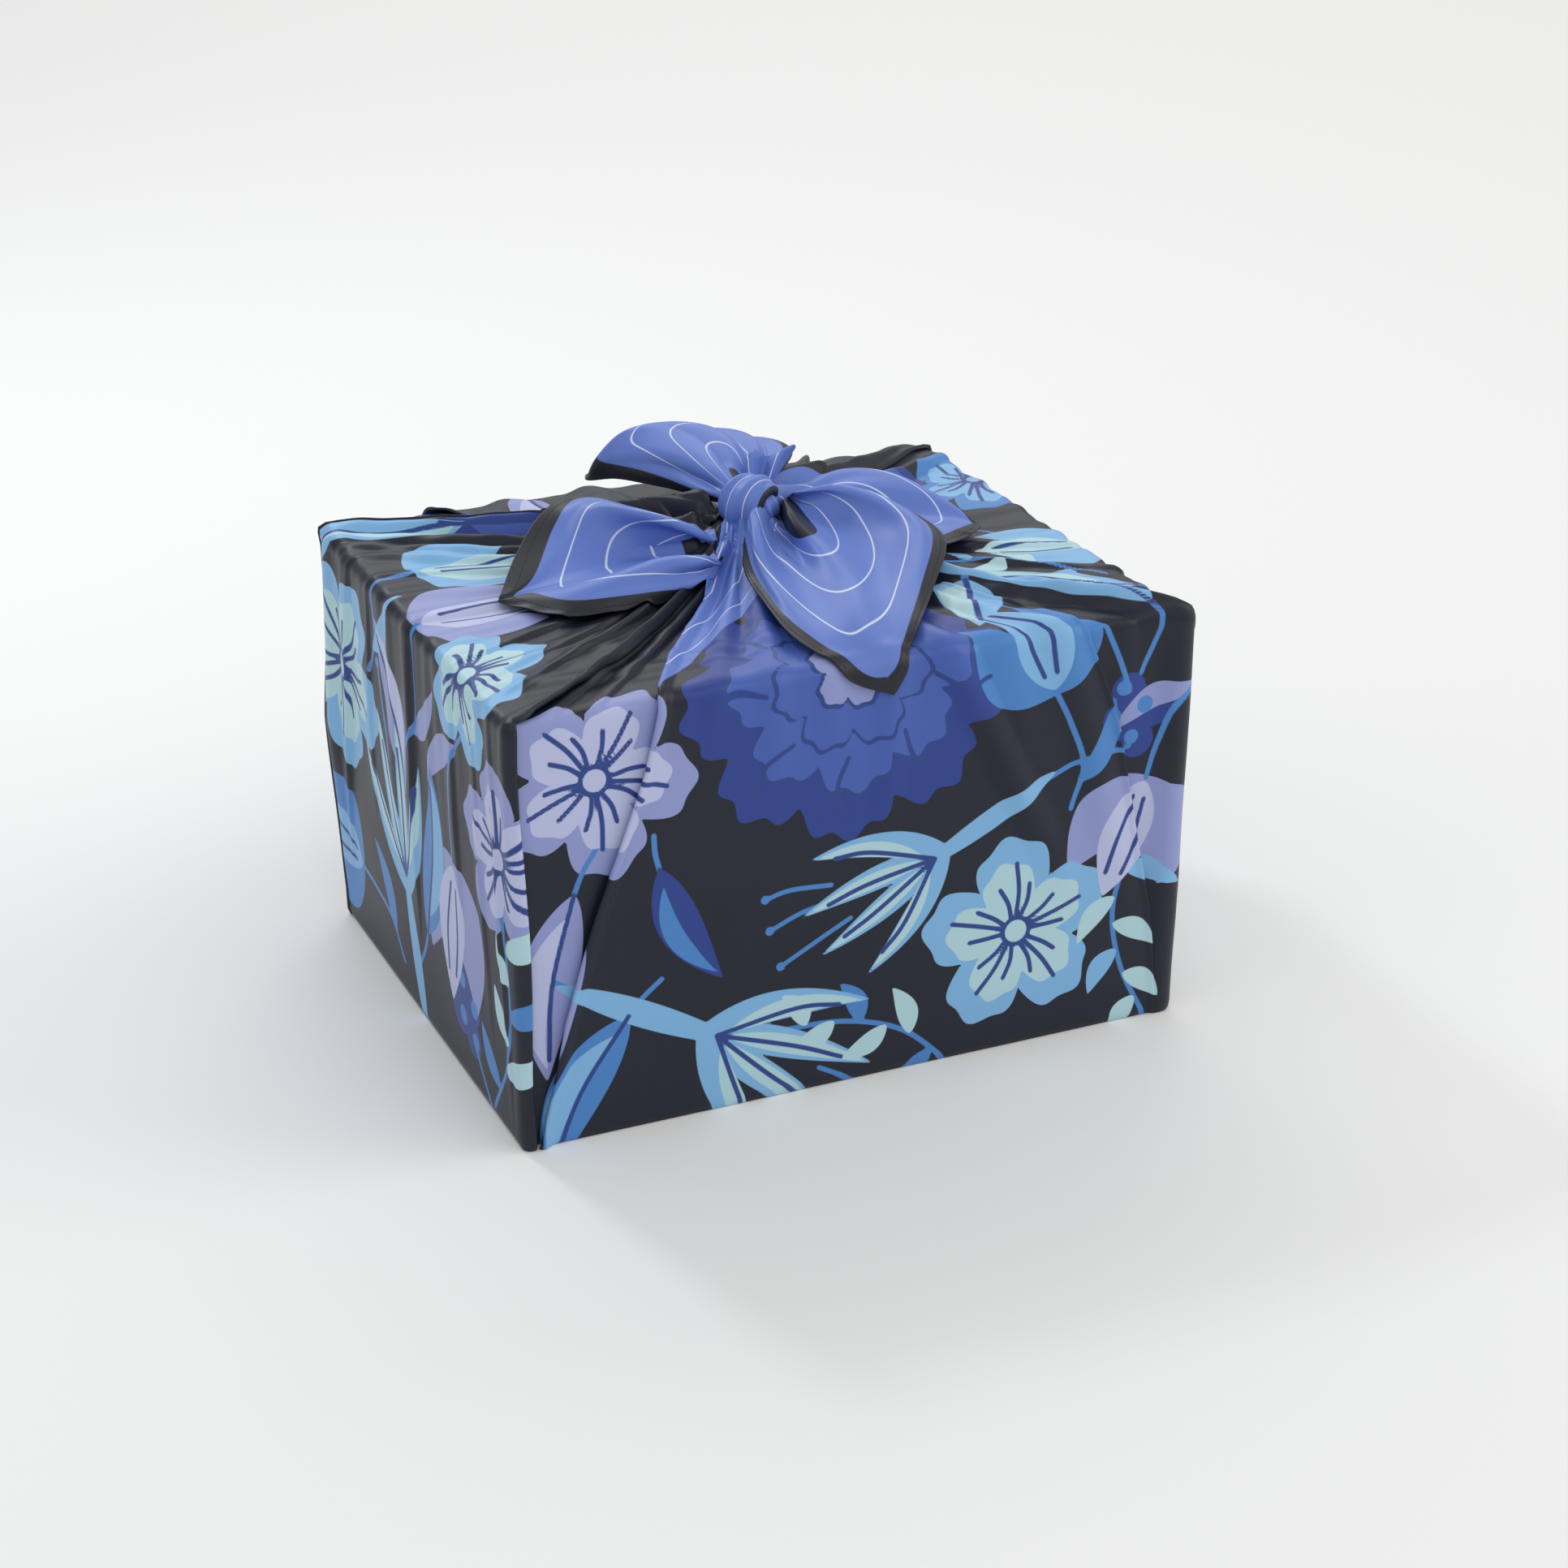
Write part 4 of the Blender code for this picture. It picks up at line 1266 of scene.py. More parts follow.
TAILS = (
    TailShape(
        "front_tail",
        (
            ((-8, -22, 197), (-15, -44, 192), (-17, -62, 189), (-19, -90, 186), (-15, -109, 183),
             (-4, -117, 173), (12, -118, 166)),
            ((-2, -18, 210), (-8, -36, 203), (-10, -51, 196), (-11, -76, 191), (-9, -103, 185),
             (-1, -117, 175), (12, -118, 166)),
            ((17, 2, 201), (12, -15, 197), (9, -30, 193), (4, -64, 190), (0, -98, 187), (3, -116, 177),
             (12, -118, 166)),
            ((16, -7, 208), (15, -24, 203), (18, -38, 199), (19, -63, 194), (11, -92, 190), (8, -114, 181),
             (12, -118, 166)),
            ((24, 8, 203), (34, 0, 198), (43, -13, 194), (45, -39, 191), (28, -82, 189), (16, -112, 181),
             (12, -118, 166)),
            ((24, 0, 208), (45, 0, 206), (57, -16, 204), (60, -40, 200), (43, -75, 192), (23, -108, 183),
             (12, -118, 166)),
            ((30, 12, 204), (58, 13, 199), (73, -5, 195), (75, -36, 192), (50, -76, 189), (27, -107, 184),
             (12, -118, 166)),
        ),
        lies_on="front_lap", reach=109.0, pleats=4.5, pleat_height=1.5, pleat_reach=0.75,
    ),
    TailShape(
        "left_tail",
        (
            ((-17, -22, 188), (-32, -34, 185), (-49, -39, 185), (-68, -40, 185), (-87, -36, 184),
             (-98, -22, 183), (-106, -6, 182)),
            ((-20, -26, 193), (-33, -31, 197), (-46, -27, 197), (-64, -26, 194), (-83, -22, 190),
             (-95, -14, 187), (-106, -6, 183)),
            ((-16, -9, 190), (-24, -1, 188), (-37, 6, 187), (-56, 3, 186), (-76, -2, 185), (-94, -5, 184),
             (-106, -6, 182)),
            ((-14, -10, 195), (-26, -4, 202), (-40, 8, 206), (-54, 24, 205), (-68, 21, 195), (-88, 3, 188),
             (-106, -6, 183)),
            ((-12, -1, 193), (-24, 20, 193), (-38, 42, 194), (-56, 46, 202), (-73, 35, 201), (-91, 16, 192),
             (-106, -6, 183)),
        ),
        lies_on="left_lap", reach=98.0, pleats=5.0, pleat_height=2.6, pleat_reach=0.7,
    ),
    TailShape(
        "back_tail",
        (
            ((-2, 8, 204), (-8, 22, 203), (-14, 36, 203), (-22, 48, 203), (-31, 59, 203), (-40, 67, 201),
             (-38, 76, 200)),
            ((0, 11, 210), (-6, 28, 213), (-13, 42, 215), (-21, 53, 215), (-31, 61, 213), (-37, 66, 210),
             (-30, 78, 203)),
            ((5, 13, 212), (4, 34, 219), (0, 52, 222), (-8, 62, 223), (-18, 66, 222), (-26, 68, 218),
             (-20, 82, 206)),
            ((11, 13, 211), (20, 34, 217), (20, 54, 218), (10, 70, 216), (-4, 78, 212), (-14, 82, 208),
             (-16, 86, 203)),
            ((15, 10, 207), (40, 38, 210), (42, 58, 209), (28, 76, 205), (8, 88, 202), (-6, 90, 201),
             (-14, 88, 200)),
        ),
        lies_on="back_lap", reach=84.0, pleats=4.5, pleat_height=1.9, pleat_reach=0.75,
    ),
    TailShape(
        "right_tail",
        (
            ((8, -10, 192), (26, -19, 187), (50, -27, 185), (68, -28, 185), (84, -24, 185), (96, -17, 184),
             (106, -8, 183)),
            ((10, -6, 194), (30, -9, 188), (52, -10, 187), (72, -10, 187), (87, -10, 187), (98, -9, 185),
             (106, -8, 183)),
            ((12, 0, 193), (34, 8, 189), (58, 14, 187), (78, 10, 186), (92, 4, 186), (101, -2, 185),
             (106, -8, 183)),
            ((12, 4, 194), (38, 24, 197), (64, 36, 199), (84, 32, 197), (96, 18, 192), (103, 4, 187),
             (106, -8, 183)),
            ((10, 10, 193), (32, 38, 192), (60, 60, 190), (84, 51, 189), (97, 32, 187), (104, 10, 185),
             (106, -8, 183)),
        ),
        lies_on="right_lap", reach=96.0, pleats=5.0, pleat_height=1.8, pleat_reach=0.7,
    ),
    TailShape(
        "knot_loop",
        (
            ((11, 12, 206), (9, 14, 211), (8, 16, 215), (10, 18, 218)),
            ((12, 10, 207), (10, 12, 214), (12, 15, 221), (14, 18, 222)),
            ((14, 11, 206), (16, 14, 211), (18, 17, 215), (21, 19, 218)),
            ((15, 9, 207), (19, 11, 214), (25, 14, 221), (31, 17, 222)),
            ((16, 11, 205), (21, 14, 209), (26, 17, 213), (33, 19, 220)),
        ),
        lies_on="upper_knot", reach=0.0, pleats=3.0, pleat_height=0.2, pleat_reach=1.0,
    ),
)


@dataclass
class Tail:
    """A free corner of the cloth, gathered in a knot at one end and running out to its point."""

    shape: TailShape
    drape: Drape
    motifs: FloralPrint
    down: int = 90
    over: int = 110
    thickness: float = 0.6
    clearance: float = 3.6
    softness: float = 0.8
    neck_place: tuple[float, float] = (6.0, -32.0)
    neck_clearance: float = 5.0
    neck_radius: float = 24.0
    print_start: float = 300.0
    pleat_start: float = 0.15
    turn_radius: float = 22.0
    least_offset: float = 5.0

    def build(self) -> bpy.types.Object:
        """Make the tail from its guide lines, with its hem and its white lines.

        Returns:
            The finished piece.
        """
        down = np.linspace(0.0, 1.0, self.down)
        over = np.linspace(0.0, 1.0, self.over)
        rows = self.surface(down, over)
        piece = sheet_from_rows(self.shape.name, rows)
        reach = self.shape.reach
        depth = reach * (1.0 - down)[:, None]
        lateral = 2.0 * over[None, :] - 1.0
        hems = (depth * (1 + lateral) / math.sqrt(2), depth * (1 - lateral) / math.sqrt(2))
        offset = self.rounded_smaller(*hems)
        rim = np.minimum(*hems)
        if not reach:
            offset = self.turn_radius + 24.0 * over[None, :] + 4.0 * down[:, None]
            rim = np.full(offset.shape, FAR)
        depth = np.broadcast_to(depth, offset.shape)
        ground = np.stack([(lateral * depth).ravel(), -self.print_start - depth.ravel()], axis=1)
        fields = {tone.value: value for tone, value in self.motifs.fields(ground).items()}
        fields["corner"] = offset.ravel()
        fields["rim"] = rim.ravel()
        paint(piece, fields)
        thicken(piece, self.thickness)
        return piece

    def surface(self, down: np.ndarray, over: np.ndarray) -> np.ndarray:
        """The middle surface of the tail.

        Args:
            down: Places from the knot, at 0, to the corner's point, at 1.
            over: Places from one hem, at 0, to the other, at 1.

        Returns:
            Points in millimetres, one row for each place down.
        """
        lines = [curve_through(np.array(guide), down) for guide in self.shape.guides]
        rows = np.stack([curve_through(row, over) for row in np.stack(lines, axis=1)])
        along = np.gradient(rows, axis=0)
        sideways = np.gradient(rows, axis=1)
        normal = np.cross(along, sideways)
        normal /= np.maximum(np.linalg.norm(normal, axis=2), 1e-6)[:, :, None]
        place = down / self.shape.pleat_reach
        strength = self.shape.pleat_height * smooth_step(place / self.pleat_start) * (1 - smooth_step(place))
        turns = self.shape.pleats * over + 0.25 * np.sin(8 * over)
        wave = 0.5 * np.cos(2 * math.pi * turns) + 0.9 * (0.6 - np.abs(np.sin(math.pi * turns)))
        rows += (strength[:, None] * wave[None, :])[:, :, None] * normal
        flat = rows.reshape(-1, 3)
        self.clear(flat)
        return flat.reshape(len(down), len(over), 3)

    def clear(self, flat: np.ndarray) -> None:
        """Keep the tail outside the cloth it lies on, on the top and round the front edge.

        Args:
            flat: Points in millimetres, which are changed.
        """
        block = self.drape.block
        bend = block.edge_radius
        line = bend - block.half_width_top
        beyond = np.maximum(line - flat[:, 1], 0.0)
        above = flat[:, 2] - (block.height - bend)
        top = self.drape.top_height(flat[:, 0], np.maximum(flat[:, 1], line)) - block.height
        wall = np.stack([flat[:, 0], np.full(len(flat), -block.half_width_top), flat[:, 2]], axis=1)
        share = smooth_step(beyond / np.maximum(np.hypot(beyond, np.maximum(above, 0.0)), 1e-6))
        relief = (1 - share) * top + share * self.drape.fold_relief(wall)
        from_neck = np.hypot(flat[:, 0] - self.neck_place[0], flat[:, 1] - self.neck_place[1])
        over_neck = self.neck_clearance * np.exp(-((from_neck / self.neck_radius) ** 2))
        needed = bend + relief + self.clearance + over_neck
        reach = np.where(above > 0, np.hypot(beyond, above), beyond)
        reach = np.where(beyond > 0, reach, above)
        soft = needed + self.softness * np.logaddexp(0.0, (reach - needed) / self.softness)
        scale = soft / np.maximum(reach, 1.0)
        on_top = beyond == 0
        flat[:, 1] = np.where(on_top, flat[:, 1], line - beyond * scale)
        raised = np.where(on_top, soft, np.where(above > 0, above * scale, above))
        flat[:, 2] = block.height - bend + raised

    def rounded_smaller(self, first: np.ndarray, second: np.ndarray) -> np.ndarray:
        """The smaller of two distances, rounded where they cross.

        Args:
            first: One distance.
            second: The other.

        Returns:
            The rounded smaller one.
        """
        radius = self.turn_radius
        gap = np.maximum(radius - np.abs(first - second), 0.0) / radius
        return np.maximum(np.minimum(first, second) - 0.25 * radius * gap**2, self.least_offset)


def thicken(piece: bpy.types.Object, thickness: float) -> None:
    """Give a sheet its thickness, half to each side.

    Args:
        piece: The sheet.
        thickness: Thickness in millimetres.
    """
    select_only(piece)
    shell = piece.modifiers.new("thickness", "SOLIDIFY")
    shell.thickness = thickness * MM
    shell.offset = 0.0
    bpy.ops.object.modifier_apply(modifier=shell.name)


@dataclass(frozen=True)
class BandShape:
    """A turn of gathered cloth round a knot, in millimetres."""

    centre: tuple[float, float, float]
    axis: tuple[float, float, float]
    radius: float
    half_width: float
    thickness: float
    pleats: int
    heavy_side: float = 0.0
    lopsided: float = 0.0


@dataclass(frozen=True)
class HeartShape:
    """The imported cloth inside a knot, in millimetres."""

    centre: tuple[float, float, float]
    half_sizes: tuple[float, float, float]
    blue: bool


@dataclass
class Knot:
    """One tied knot: packed cloth with a turn of gathered cloth round it."""

    name: str
    bands: tuple[BandShape, ...]
    hearts: tuple[HeartShape, ...]
    ripple: float = 0.16
    heart_ripple: float = 0.07
    offset_middle: float = 34.0
    offset_swing: float = 17.0

    def build(self) -> bpy.types.Object:
        """Make the knot from rings and balls.

        Returns:
            The finished piece.
        """
        parts = [self.band(shape) for shape in self.bands]
        parts += [self.heart(shape) for shape in self.hearts]
        return joined(parts, self.name)

    def band(self, shape: BandShape) -> bpy.types.Object:
        """A flattened ring with pleats running round it.

        Args:
            shape: Its place and sizes.

        Returns:
            The ring.
        """
        bpy.ops.mesh.primitive_torus_add(
            major_segments=110, minor_segments=56, major_radius=1.0, minor_radius=0.25
        )
        ring = bpy.context.object
        x, y, z = points_of(ring).T
        round_angle = np.arctan2(y, x)
        cross_angle = np.arctan2(z, np.hypot(x, y) - 1.0)
        ripple = self.ripple * np.cos(shape.pleats * cross_angle + 0.8 * np.sin(2 * round_angle))
        uneven = 1 + 0.1 * np.sin(2 * round_angle + 0.7) + ripple
        heavy = 1 + shape.lopsided * np.cos(round_angle - math.radians(shape.heavy_side))
        out = shape.thickness * np.cos(cross_angle) * uneven * heavy
        side = shape.half_width * np.sin(cross_angle) * heavy
        side += 0.12 * shape.half_width * np.sin(2 * round_angle)
        radius = shape.radius + out
        local = np.stack([radius * np.cos(round_angle), radius * np.sin(round_angle), side], axis=1)
        turn = np.array(Vector(shape.axis).to_track_quat("Z", "Y").to_matrix())
        move_points(ring, local @ turn.T + np.array(shape.centre))
        offset = self.offset_middle + self.offset_swing * np.sin(cross_angle) + 2.0 * np.sin(round_angle)
        self.colour(ring, offset)
        return ring

    def heart(self, shape: HeartShape) -> bpy.types.Object:
        """A ball of packed cloth with folds on it.

        Args:
            shape: Its place and sizes.

        Returns:
            The ball.
        """
        bpy.ops.mesh.primitive_uv_sphere_add(segments=72, ring_count=40, radius=1.0)
        ball = bpy.context.object
        points = points_of(ball)
        angle = np.arctan2(points[:, 1], points[:, 0])
        folds = 1 + self.heart_ripple * np.cos(9 * angle + 3 * points[:, 2]) * (1 - points[:, 2] ** 2)
        placed = points * folds[:, None] * np.array(shape.half_sizes) + np.array(shape.centre)
        move_points(ball, placed)
        self.colour(ball, np.full(len(points), self.offset_middle if shape.blue else NO_CORNER))
        return ball

    def colour(self, part: bpy.types.Object, offset: np.ndarray) -> None:
        """Keep how far in from the hem each point of a part is, for its material.

        Args:
            part: The part.
            offset: The offset at each point.
        """
        plain = np.full(len(offset), FAR)
        keep_values(part, {"corner": offset, "rim": plain} | {tone.value: plain for tone in Tone})
        part.data.shade_smooth()


KNOTS = (
    Knot(
        "lower_knot",
        (BandShape((-4.0, -9.0, 189.0), (0.75, 0.6, 0.25), 6.0, 6.0, 3.4, 5),),
        (
            HeartShape((-6.0, -8.0, 187.0), (12.0, 9.0, 6.0), False),
            HeartShape((4.0, 0.0, 193.0), (12.0, 13.0, 10.0), False),
        ),
    ),
    Knot(
        "upper_knot",
        (
            BandShape((6.0, 1.0, 205.5), (0.5, -0.82, -0.28), 8.6, 7.6, 4.0, 6, 180.0, 0.35),
            BandShape((13.0, 9.0, 205.0), (0.9, 0.25, 0.2), 6.4, 4.6, 2.6, 4),
        ),
        (HeartShape((8.0, 2.0, 204.0), (9.0, 11.0, 8.5), True),),
    ),
)


@dataclass
class Stitching:
    """The line of machine stitches along the hems of one tail, in millimetres."""

    tail: Tail
    radius: float = 0.42
    length: float = 2.1
    spacing: float = 3.0
    inset: float = 2.4
    places: int = 240
    first: float = 1.0

    def build(self) -> bpy.types.Object:
        """Lay stitches along both hems.

        Returns:
            All the tail's stitches as one piece.
        """
        down = np.linspace(0.0, 1.0, self.places)
        rows = self.tail.surface(down, down)
        stitches = []
        for hand in (-1, 1):
            line = self.seam(rows, down, hand)
            steps = np.linalg.norm(np.diff(line, axis=0), axis=1)
            run = np.concatenate([[0.0], np.cumsum(steps)])
            for start in np.arange(self.first, run[-1] - self.length, self.spacing):
                ends = [[np.interp(at, run, line[:, axis]) for axis in range(3)]
                        for at in (start, start + self.length)]
                stitches.append(self.stitch(*np.array(ends)))
        return joined(stitches, self.tail.shape.name + "_stitches")

    def seam(self, rows: np.ndarray, down: np.ndarray, hand: int) -> np.ndarray:
        """The line that the stitches follow, a little in from a hem.

        Args:
            rows: Points of the tail's middle surface.
            down: Place of each row.
            hand: -1 for the first hem, 1 for the other.

        Returns:
            Points on the line.
        """
        depth = self.tail.shape.reach * (1.0 - down)
        inside = depth > 2 * self.inset
        lateral = hand * (1.0 - self.inset * math.sqrt(2) / depth[inside])
        column = (lateral + 1) / 2 * (rows.shape[1] - 1)
        low = np.floor(column).astype(int)
        part = (column - low)[:, None]
        kept = rows[inside]
        index = np.arange(len(kept))
        high = np.minimum(low + 1, rows.shape[1] - 1)
        return kept[index, low] * (1 - part) + kept[index, high] * part

    def stitch(self, start: np.ndarray, end: np.ndarray) -> bpy.types.Object:
        """One stitch of thread between two holes.

        Args:
            start: One end.
            end: The other end.

        Returns:
            The stitch.
        """
        bpy.ops.mesh.primitive_cylinder_add(vertices=6, radius=1.0, depth=1.0)
        thread = bpy.context.object
        run = end - start
        turn = np.array(Vector(run).to_track_quat("Z", "Y").to_matrix())
        scale = np.array([self.radius, self.radius, np.linalg.norm(run)])
        for vertex in thread.data.vertices:
            place = turn @ (np.array(vertex.co) * scale) + (start + end) / 2
            vertex.co = Vector(place * MM)
        return thread


def to_linear(code: str) -> tuple[float, float, float, float]:
    """Turn an sRGB hex colour into the linear values that shaders take.

    Args:
        code: The colour, such as "#2c2e3a".

    Returns:
        Linear red, green and blue, and 1.
    """
    parts = [int(code[index : index + 2], 16) / 255 for index in (1, 3, 5)]
    linear = [part / 12.92 if part <= 0.04045 else ((part + 0.055) / 1.055) ** 2.4 for part in parts]
    return (*linear, 1.0)


def add_node(tree: bpy.types.NodeTree, kind: str, **values: object) -> bpy.types.Node:
    """Add a node and set its properties and sockets.

    Args:
        tree: The node tree.
        kind: The node's type name.
        values: Properties by name, or sockets by name or by in_ and number; a socket value is linked.

    Returns:
        The new node.
    """
    node = tree.nodes.new(kind)
    for name, value in values.items():
        if not name.startswith("in_"):
            setattr(node, name, value)
    for name, value in values.items():
        if not name.startswith("in_"):
            continue
        key = name[3:]
        socket = node.inputs[int(key)] if key.isdigit() else node.inputs[key.replace("_", " ")]
        if isinstance(value, bpy.types.NodeSocket):
            tree.links.new(value, socket)
        else:
            socket.default_value = value
    return node


@dataclass
class PrintedSatin:
    """Polyester satin with a printed ground: the shader that all the cloth shares."""

    dyes: Dyes = field(default_factory=Dyes)
    soft: float = 0.22
    roughness: float = 0.42
    specular: float = 0.32
    ior: float = 1.5
    cloud_scale: float = 38.0
    corner_edge: float = 50.0
    lines_edge: float = 48.0
    first_line: float = 16.0
    half_step: float = 6.25
    line_half: float = 0.26
    hem_width: float = 6.2
    thread_scale: float = 2600.0
    bump_strength: float = 0.12
    bump_depth: float = 0.0002

    def build(self) -> bpy.types.Material:
        """Make the material.

        Returns:
            The material.
        """
        # Polyester satin: long floats of thread give a soft, broad gloss with a pale sheen at the rim.
        material = bpy.data.materials.new("printed_polyester_satin")
        material.use_nodes = True
        tree = material.node_tree
        tree.nodes.clear()
        colour = self.printed_colour(tree)
        shader = add_node(tree, "ShaderNodeBsdfPrincipled", in_Base_Color=colour)
        shader.inputs["Roughness"].default_value = self.roughness
        shader.inputs["IOR"].default_value = self.ior
        shader.inputs["Specular IOR Level"].default_value = self.specular
        weave = self.weave(tree)
        tree.links.new(weave, shader.inputs["Normal"])
        output = add_node(tree, "ShaderNodeOutputMaterial")
        tree.links.new(shader.outputs[0], output.inputs[0])
        return material

    def field_value(self, tree: bpy.types.NodeTree, name: str) -> bpy.types.NodeSocket:
        """The socket of a value that is kept on the cloth."""
        return add_node(tree, "ShaderNodeAttribute", attribute_name=name).outputs["Fac"]

    def inside(
        self, tree: bpy.types.NodeTree, value: bpy.types.NodeSocket, edge: float
    ) -> bpy.types.NodeSocket:
        """1 where a value is under an edge, with a soft step as wide as the ink bleeds.

        Args:
            tree: The node tree.
            value: The value.
            edge: The edge.

        Returns:
            The share's socket.
        """
        step = {"in_Value": value, "in_1": edge + self.soft, "in_2": edge - self.soft}
        return add_node(tree, "ShaderNodeMapRange", **step).outputs[0]

    def mixed(
        self,
        tree: bpy.types.NodeTree,
        share: bpy.types.NodeSocket,
        below: bpy.types.NodeSocket | tuple[float, float, float, float],
        code: str,
    ) -> bpy.types.NodeSocket:
        """Lay a colour over another.

        Args:
            tree: The node tree.
            share: How much of the new colour shows.
            below: The colour below.
            code: The new colour as sRGB hex.

        Returns:
            The mixed colour's socket.
        """
        colours = {"in_0": share, "in_6": below, "in_7": to_linear(code)}
        return add_node(tree, "ShaderNodeMix", data_type="RGBA", **colours).outputs[2]

    def printed_colour(self, tree: bpy.types.NodeTree) -> bpy.types.NodeSocket:
        """The colour of the cloth: ground, flowers, blue corner, white lines and hem.

        Args:
            tree: The node tree.

        Returns:
            The colour's socket.
        """
        dyes = self.dyes
        place = add_node(tree, "ShaderNodeTexCoord").outputs["Object"]
        noise = {"in_Vector": place, "in_Scale": self.cloud_scale, "in_Detail": 2.0}
        cloud = add_node(tree, "ShaderNodeTexNoise", **noise)
        colour = self.mixed(tree, cloud.outputs["Fac"], to_linear(dyes.ground), dyes.ground_worn)
        for tone in Tone:
            share = self.inside(tree, self.field_value(tree, tone.value), 0.0)
            colour = self.mixed(tree, share, colour, getattr(dyes, tone.value))
        corner = self.field_value(tree, "corner")
        colour = self.mixed(tree, self.inside(tree, corner, self.corner_edge), colour, dyes.corner)
        shifted = self.math(tree, "ADD", corner, self.half_step - self.first_line)
        repeat = self.math(tree, "PINGPONG", shifted, self.half_step)
        from_line = self.math(tree, "SUBTRACT", self.half_step, repeat)
        on_line = self.inside(tree, from_line, self.line_half)
        lines = self.math(tree, "MULTIPLY", on_line, self.inside(tree, corner, self.lines_edge))
        colour = self.mixed(tree, lines, colour, dyes.white_line)
        rim = self.field_value(tree, "rim")
        return self.mixed(tree, self.inside(tree, rim, self.hem_width), colour, dyes.border)

    def math(
        self,
        tree: bpy.types.NodeTree,
        operation: str,
        first: bpy.types.NodeSocket | float,
        second: bpy.types.NodeSocket | float,
    ) -> bpy.types.NodeSocket:
        """Reckon with two values."""
        return add_node(tree, "ShaderNodeMath", operation=operation, in_0=first, in_1=second).outputs[0]

    def weave(self, tree: bpy.types.NodeTree) -> bpy.types.NodeSocket:
        """A fine weave and slight slubs, as a bump of fine noise.

        Args:
            tree: The node tree.

        Returns:
            The normal's socket.
        """
        place = add_node(tree, "ShaderNodeTexCoord").outputs["Object"]
        noise = {"in_Vector": place, "in_Scale": self.thread_scale, "in_Detail": 1.0}
        threads = add_node(tree, "ShaderNodeTexNoise", **noise)
        bump = add_node(
            tree,
            "ShaderNodeBump",
            in_Strength=self.bump_strength,
            in_Distance=self.bump_depth,
            in_Height=threads.outputs["Fac"],
        )
        return bump.outputs[0]


@dataclass
class SewingThread:
    """The dark thread of the hem stitches."""

    dyes: Dyes = field(default_factory=Dyes)

    def build(self) -> bpy.types.Material:
        """Make the material.

        Returns:
            The material.
        """
        # Spun polyester thread: nearly matt, so that the stitches read as dark dashes on the satin.
        material = bpy.data.materials.new("spun_polyester_thread")
        material.use_nodes = True
        shader = material.node_tree.nodes["Principled BSDF"]
        shader.inputs["Base Color"].default_value = to_linear(self.dyes.thread)
        shader.inputs["Roughness"].default_value = 0.7
        return material


@dataclass(frozen=True)
class Softbox:
    """One soft light of the studio: its place and size in metres, power in watts and sRGB colour."""

    name: str
    place: tuple[float, float, float]
    size: tuple[float, float]
    power: float
    code: str = "#fffefb"


SOFTBOXES = (
    Softbox("key_lamp", (-0.41, 0.99, 1.15), (0.18, 0.18), 4.3, "#f3f8ff"),
    Softbox("front_softbox", (-1.2, -4.6, 3.2), (4.5, 3.0), 24.0),
    Softbox("right_softbox", (4.6, -1.6, 2.6), (3.5, 3.5), 84.0, "#fff9f0"),
    Softbox("left_softbox", (-4.6, -0.6, 2.8), (3.5, 3.5), 16.0),
    Softbox("back_softbox", (0.9, 2.8, 2.4), (3.0, 2.0), 32.0),
    Softbox("overhead_softbox", (0.2, -1.6, 2.6), (3.0, 2.4), 19.0),
)


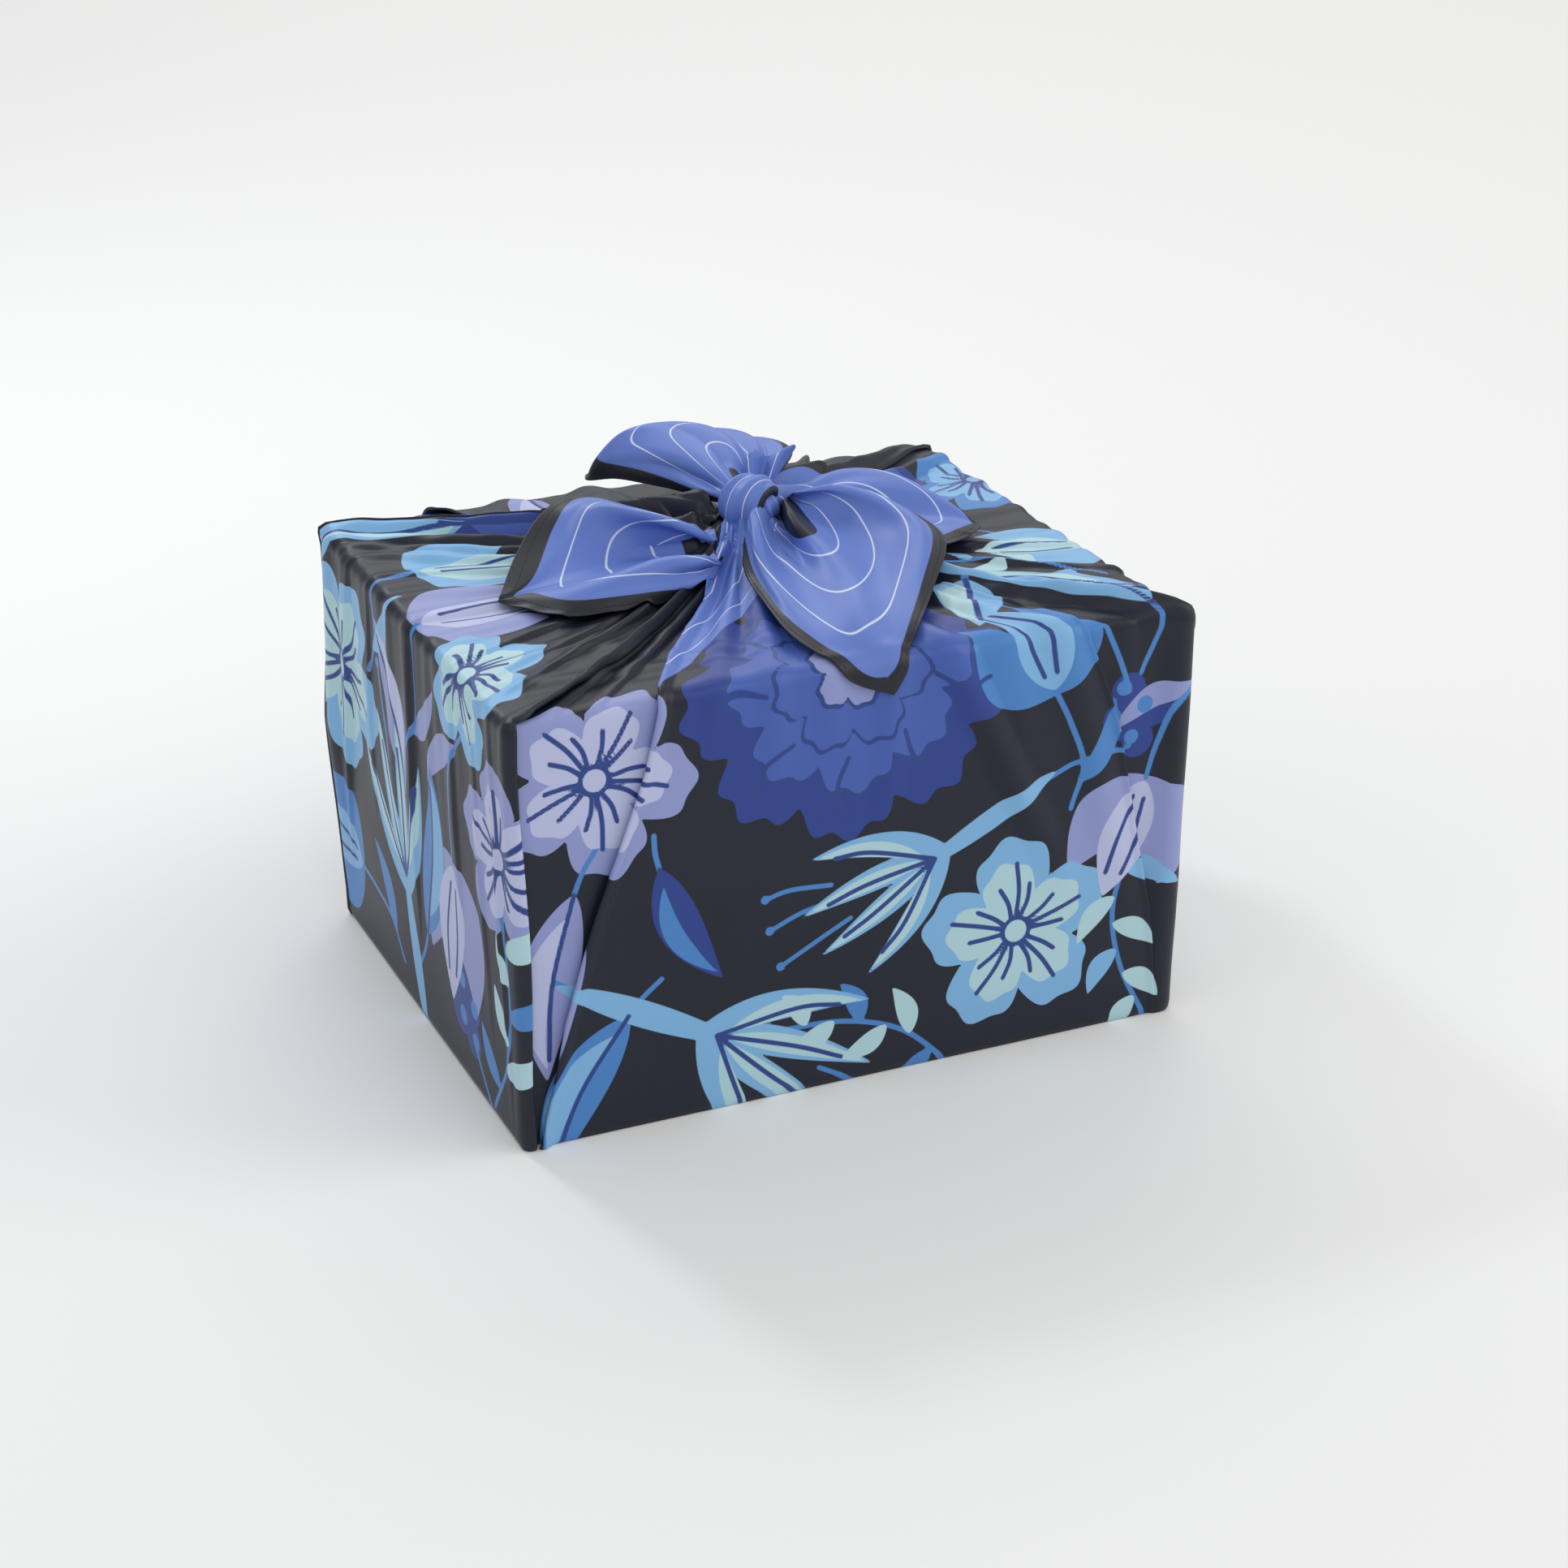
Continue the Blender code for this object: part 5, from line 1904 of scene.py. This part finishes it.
@dataclass
class Studio:
    """A pale floor, a small lamp behind on the left, soft light all round, and the photograph's camera."""

    softboxes: tuple[Softbox, ...] = SOFTBOXES
    room_strength: float = 0.5
    floor_code: str = "#f1f2f2"
    floor_size: float = 9.0
    azimuth: float = -24.02
    elevation: float = 24.20
    eye: tuple[float, float, float] = (-0.4874, -1.1376, 0.6384)
    focal: float = 3981.0
    image_side: float = 1932.0
    sensor: float = 36.0
    aim: tuple[float, float, float] = (0.0, 0.0, 0.1)
    room_code: str = "#f8f9fa"

    def build(self) -> None:
        """Set up floor, lights and camera."""
        self.floor()
        for softbox in self.softboxes:
            self.light(softbox)
        self.world()
        self.camera()

    def floor(self) -> None:
        """Lay the floor."""
        bpy.ops.mesh.primitive_plane_add(size=self.floor_size)
        floor = bpy.context.object
        floor.name = "studio_floor"
        # Matt studio paper: no gloss, so that the shadow stays soft and even.
        paper = bpy.data.materials.new("matt_studio_paper")
        paper.use_nodes = True
        shader = paper.node_tree.nodes["Principled BSDF"]
        shader.inputs["Base Color"].default_value = to_linear(self.floor_code)
        shader.inputs["Roughness"].default_value = 0.9
        shader.inputs["Specular IOR Level"].default_value = 0.1
        floor.data.materials.append(paper)

    def light(self, softbox: Softbox) -> None:
        """Hang a soft light that faces the object.

        Args:
            softbox: The light.
        """
        bpy.ops.object.light_add(type="AREA", location=softbox.place)
        lamp = bpy.context.object
        lamp.name = softbox.name
        lamp.data.shape = "RECTANGLE"
        lamp.data.size, lamp.data.size_y = softbox.size
        lamp.data.energy = softbox.power
        lamp.data.color = to_linear(softbox.code)[:3]
        away = Vector(softbox.place) - Vector(self.aim)
        lamp.rotation_euler = away.to_track_quat("Z", "Y").to_euler()

    def world(self) -> None:
        """Fill the room with even white light."""
        world = bpy.data.worlds.new("studio_room")
        world.use_nodes = True
        background = world.node_tree.nodes["Background"]
        background.inputs["Color"].default_value = to_linear(self.room_code)
        background.inputs["Strength"].default_value = self.room_strength
        bpy.context.scene.world = world

    def camera(self) -> None:
        """Set the camera as the photograph was taken."""
        azimuth = math.radians(self.azimuth)
        elevation = math.radians(self.elevation)
        across = math.cos(elevation)
        back = Vector((math.sin(azimuth) * across, -math.cos(azimuth) * across, math.sin(elevation)))
        bpy.ops.object.camera_add(location=self.eye)
        camera = bpy.context.object
        camera.data.sensor_width = self.sensor
        camera.data.lens = self.focal / self.image_side * self.sensor
        camera.rotation_euler = back.to_track_quat("Z", "Y").to_euler()
        bpy.context.scene.camera = camera
        bpy.context.scene.view_settings.view_transform = "Standard"


def dress(piece: bpy.types.Object, material: bpy.types.Material) -> None:
    """Give a piece its material and its place in the frame.

    Args:
        piece: The piece.
        material: Its material.
    """
    piece.data.materials.clear()
    piece.data.materials.append(material)
    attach(piece, "root")
    log.info("%s has %d faces", piece.name, len(piece.data.polygons))


def main() -> None:
    """Build and dress the wrapped cloth, then set up the studio."""
    logging.basicConfig(level=logging.INFO)
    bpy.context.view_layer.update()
    drape = Drape()
    gathers = Gathers()
    flowers = FloralPrint()
    satin = PrintedSatin().build()
    mouth = Mouth()
    shell = Underlay(drape)
    underlay = shell.build()
    mouth.open(underlay)
    thicken(underlay, shell.thickness)
    pieces = [underlay]
    seams = []
    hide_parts(NODE)
    for shape in LAPS:
        lap = Lap(shape, drape, gathers, flowers).build()
        mouth.open(lap)
        pieces.append(lap)
    for shape in TAILS:
        tail = Tail(shape, drape, flowers)
        piece = tail.build()
        pieces.append(piece)
        if shape.reach:
            seam = Stitching(tail).build()
            seams.append(seam)
    for knot in KNOTS:
        pieces.append(knot.build())
    for piece in pieces:
        piece.data.shade_smooth()
        dress(piece, satin)
    thread = SewingThread().build()
    for seam in seams:
        dress(seam, thread)
    Studio().build()


if __name__ == "__main__":
    main()
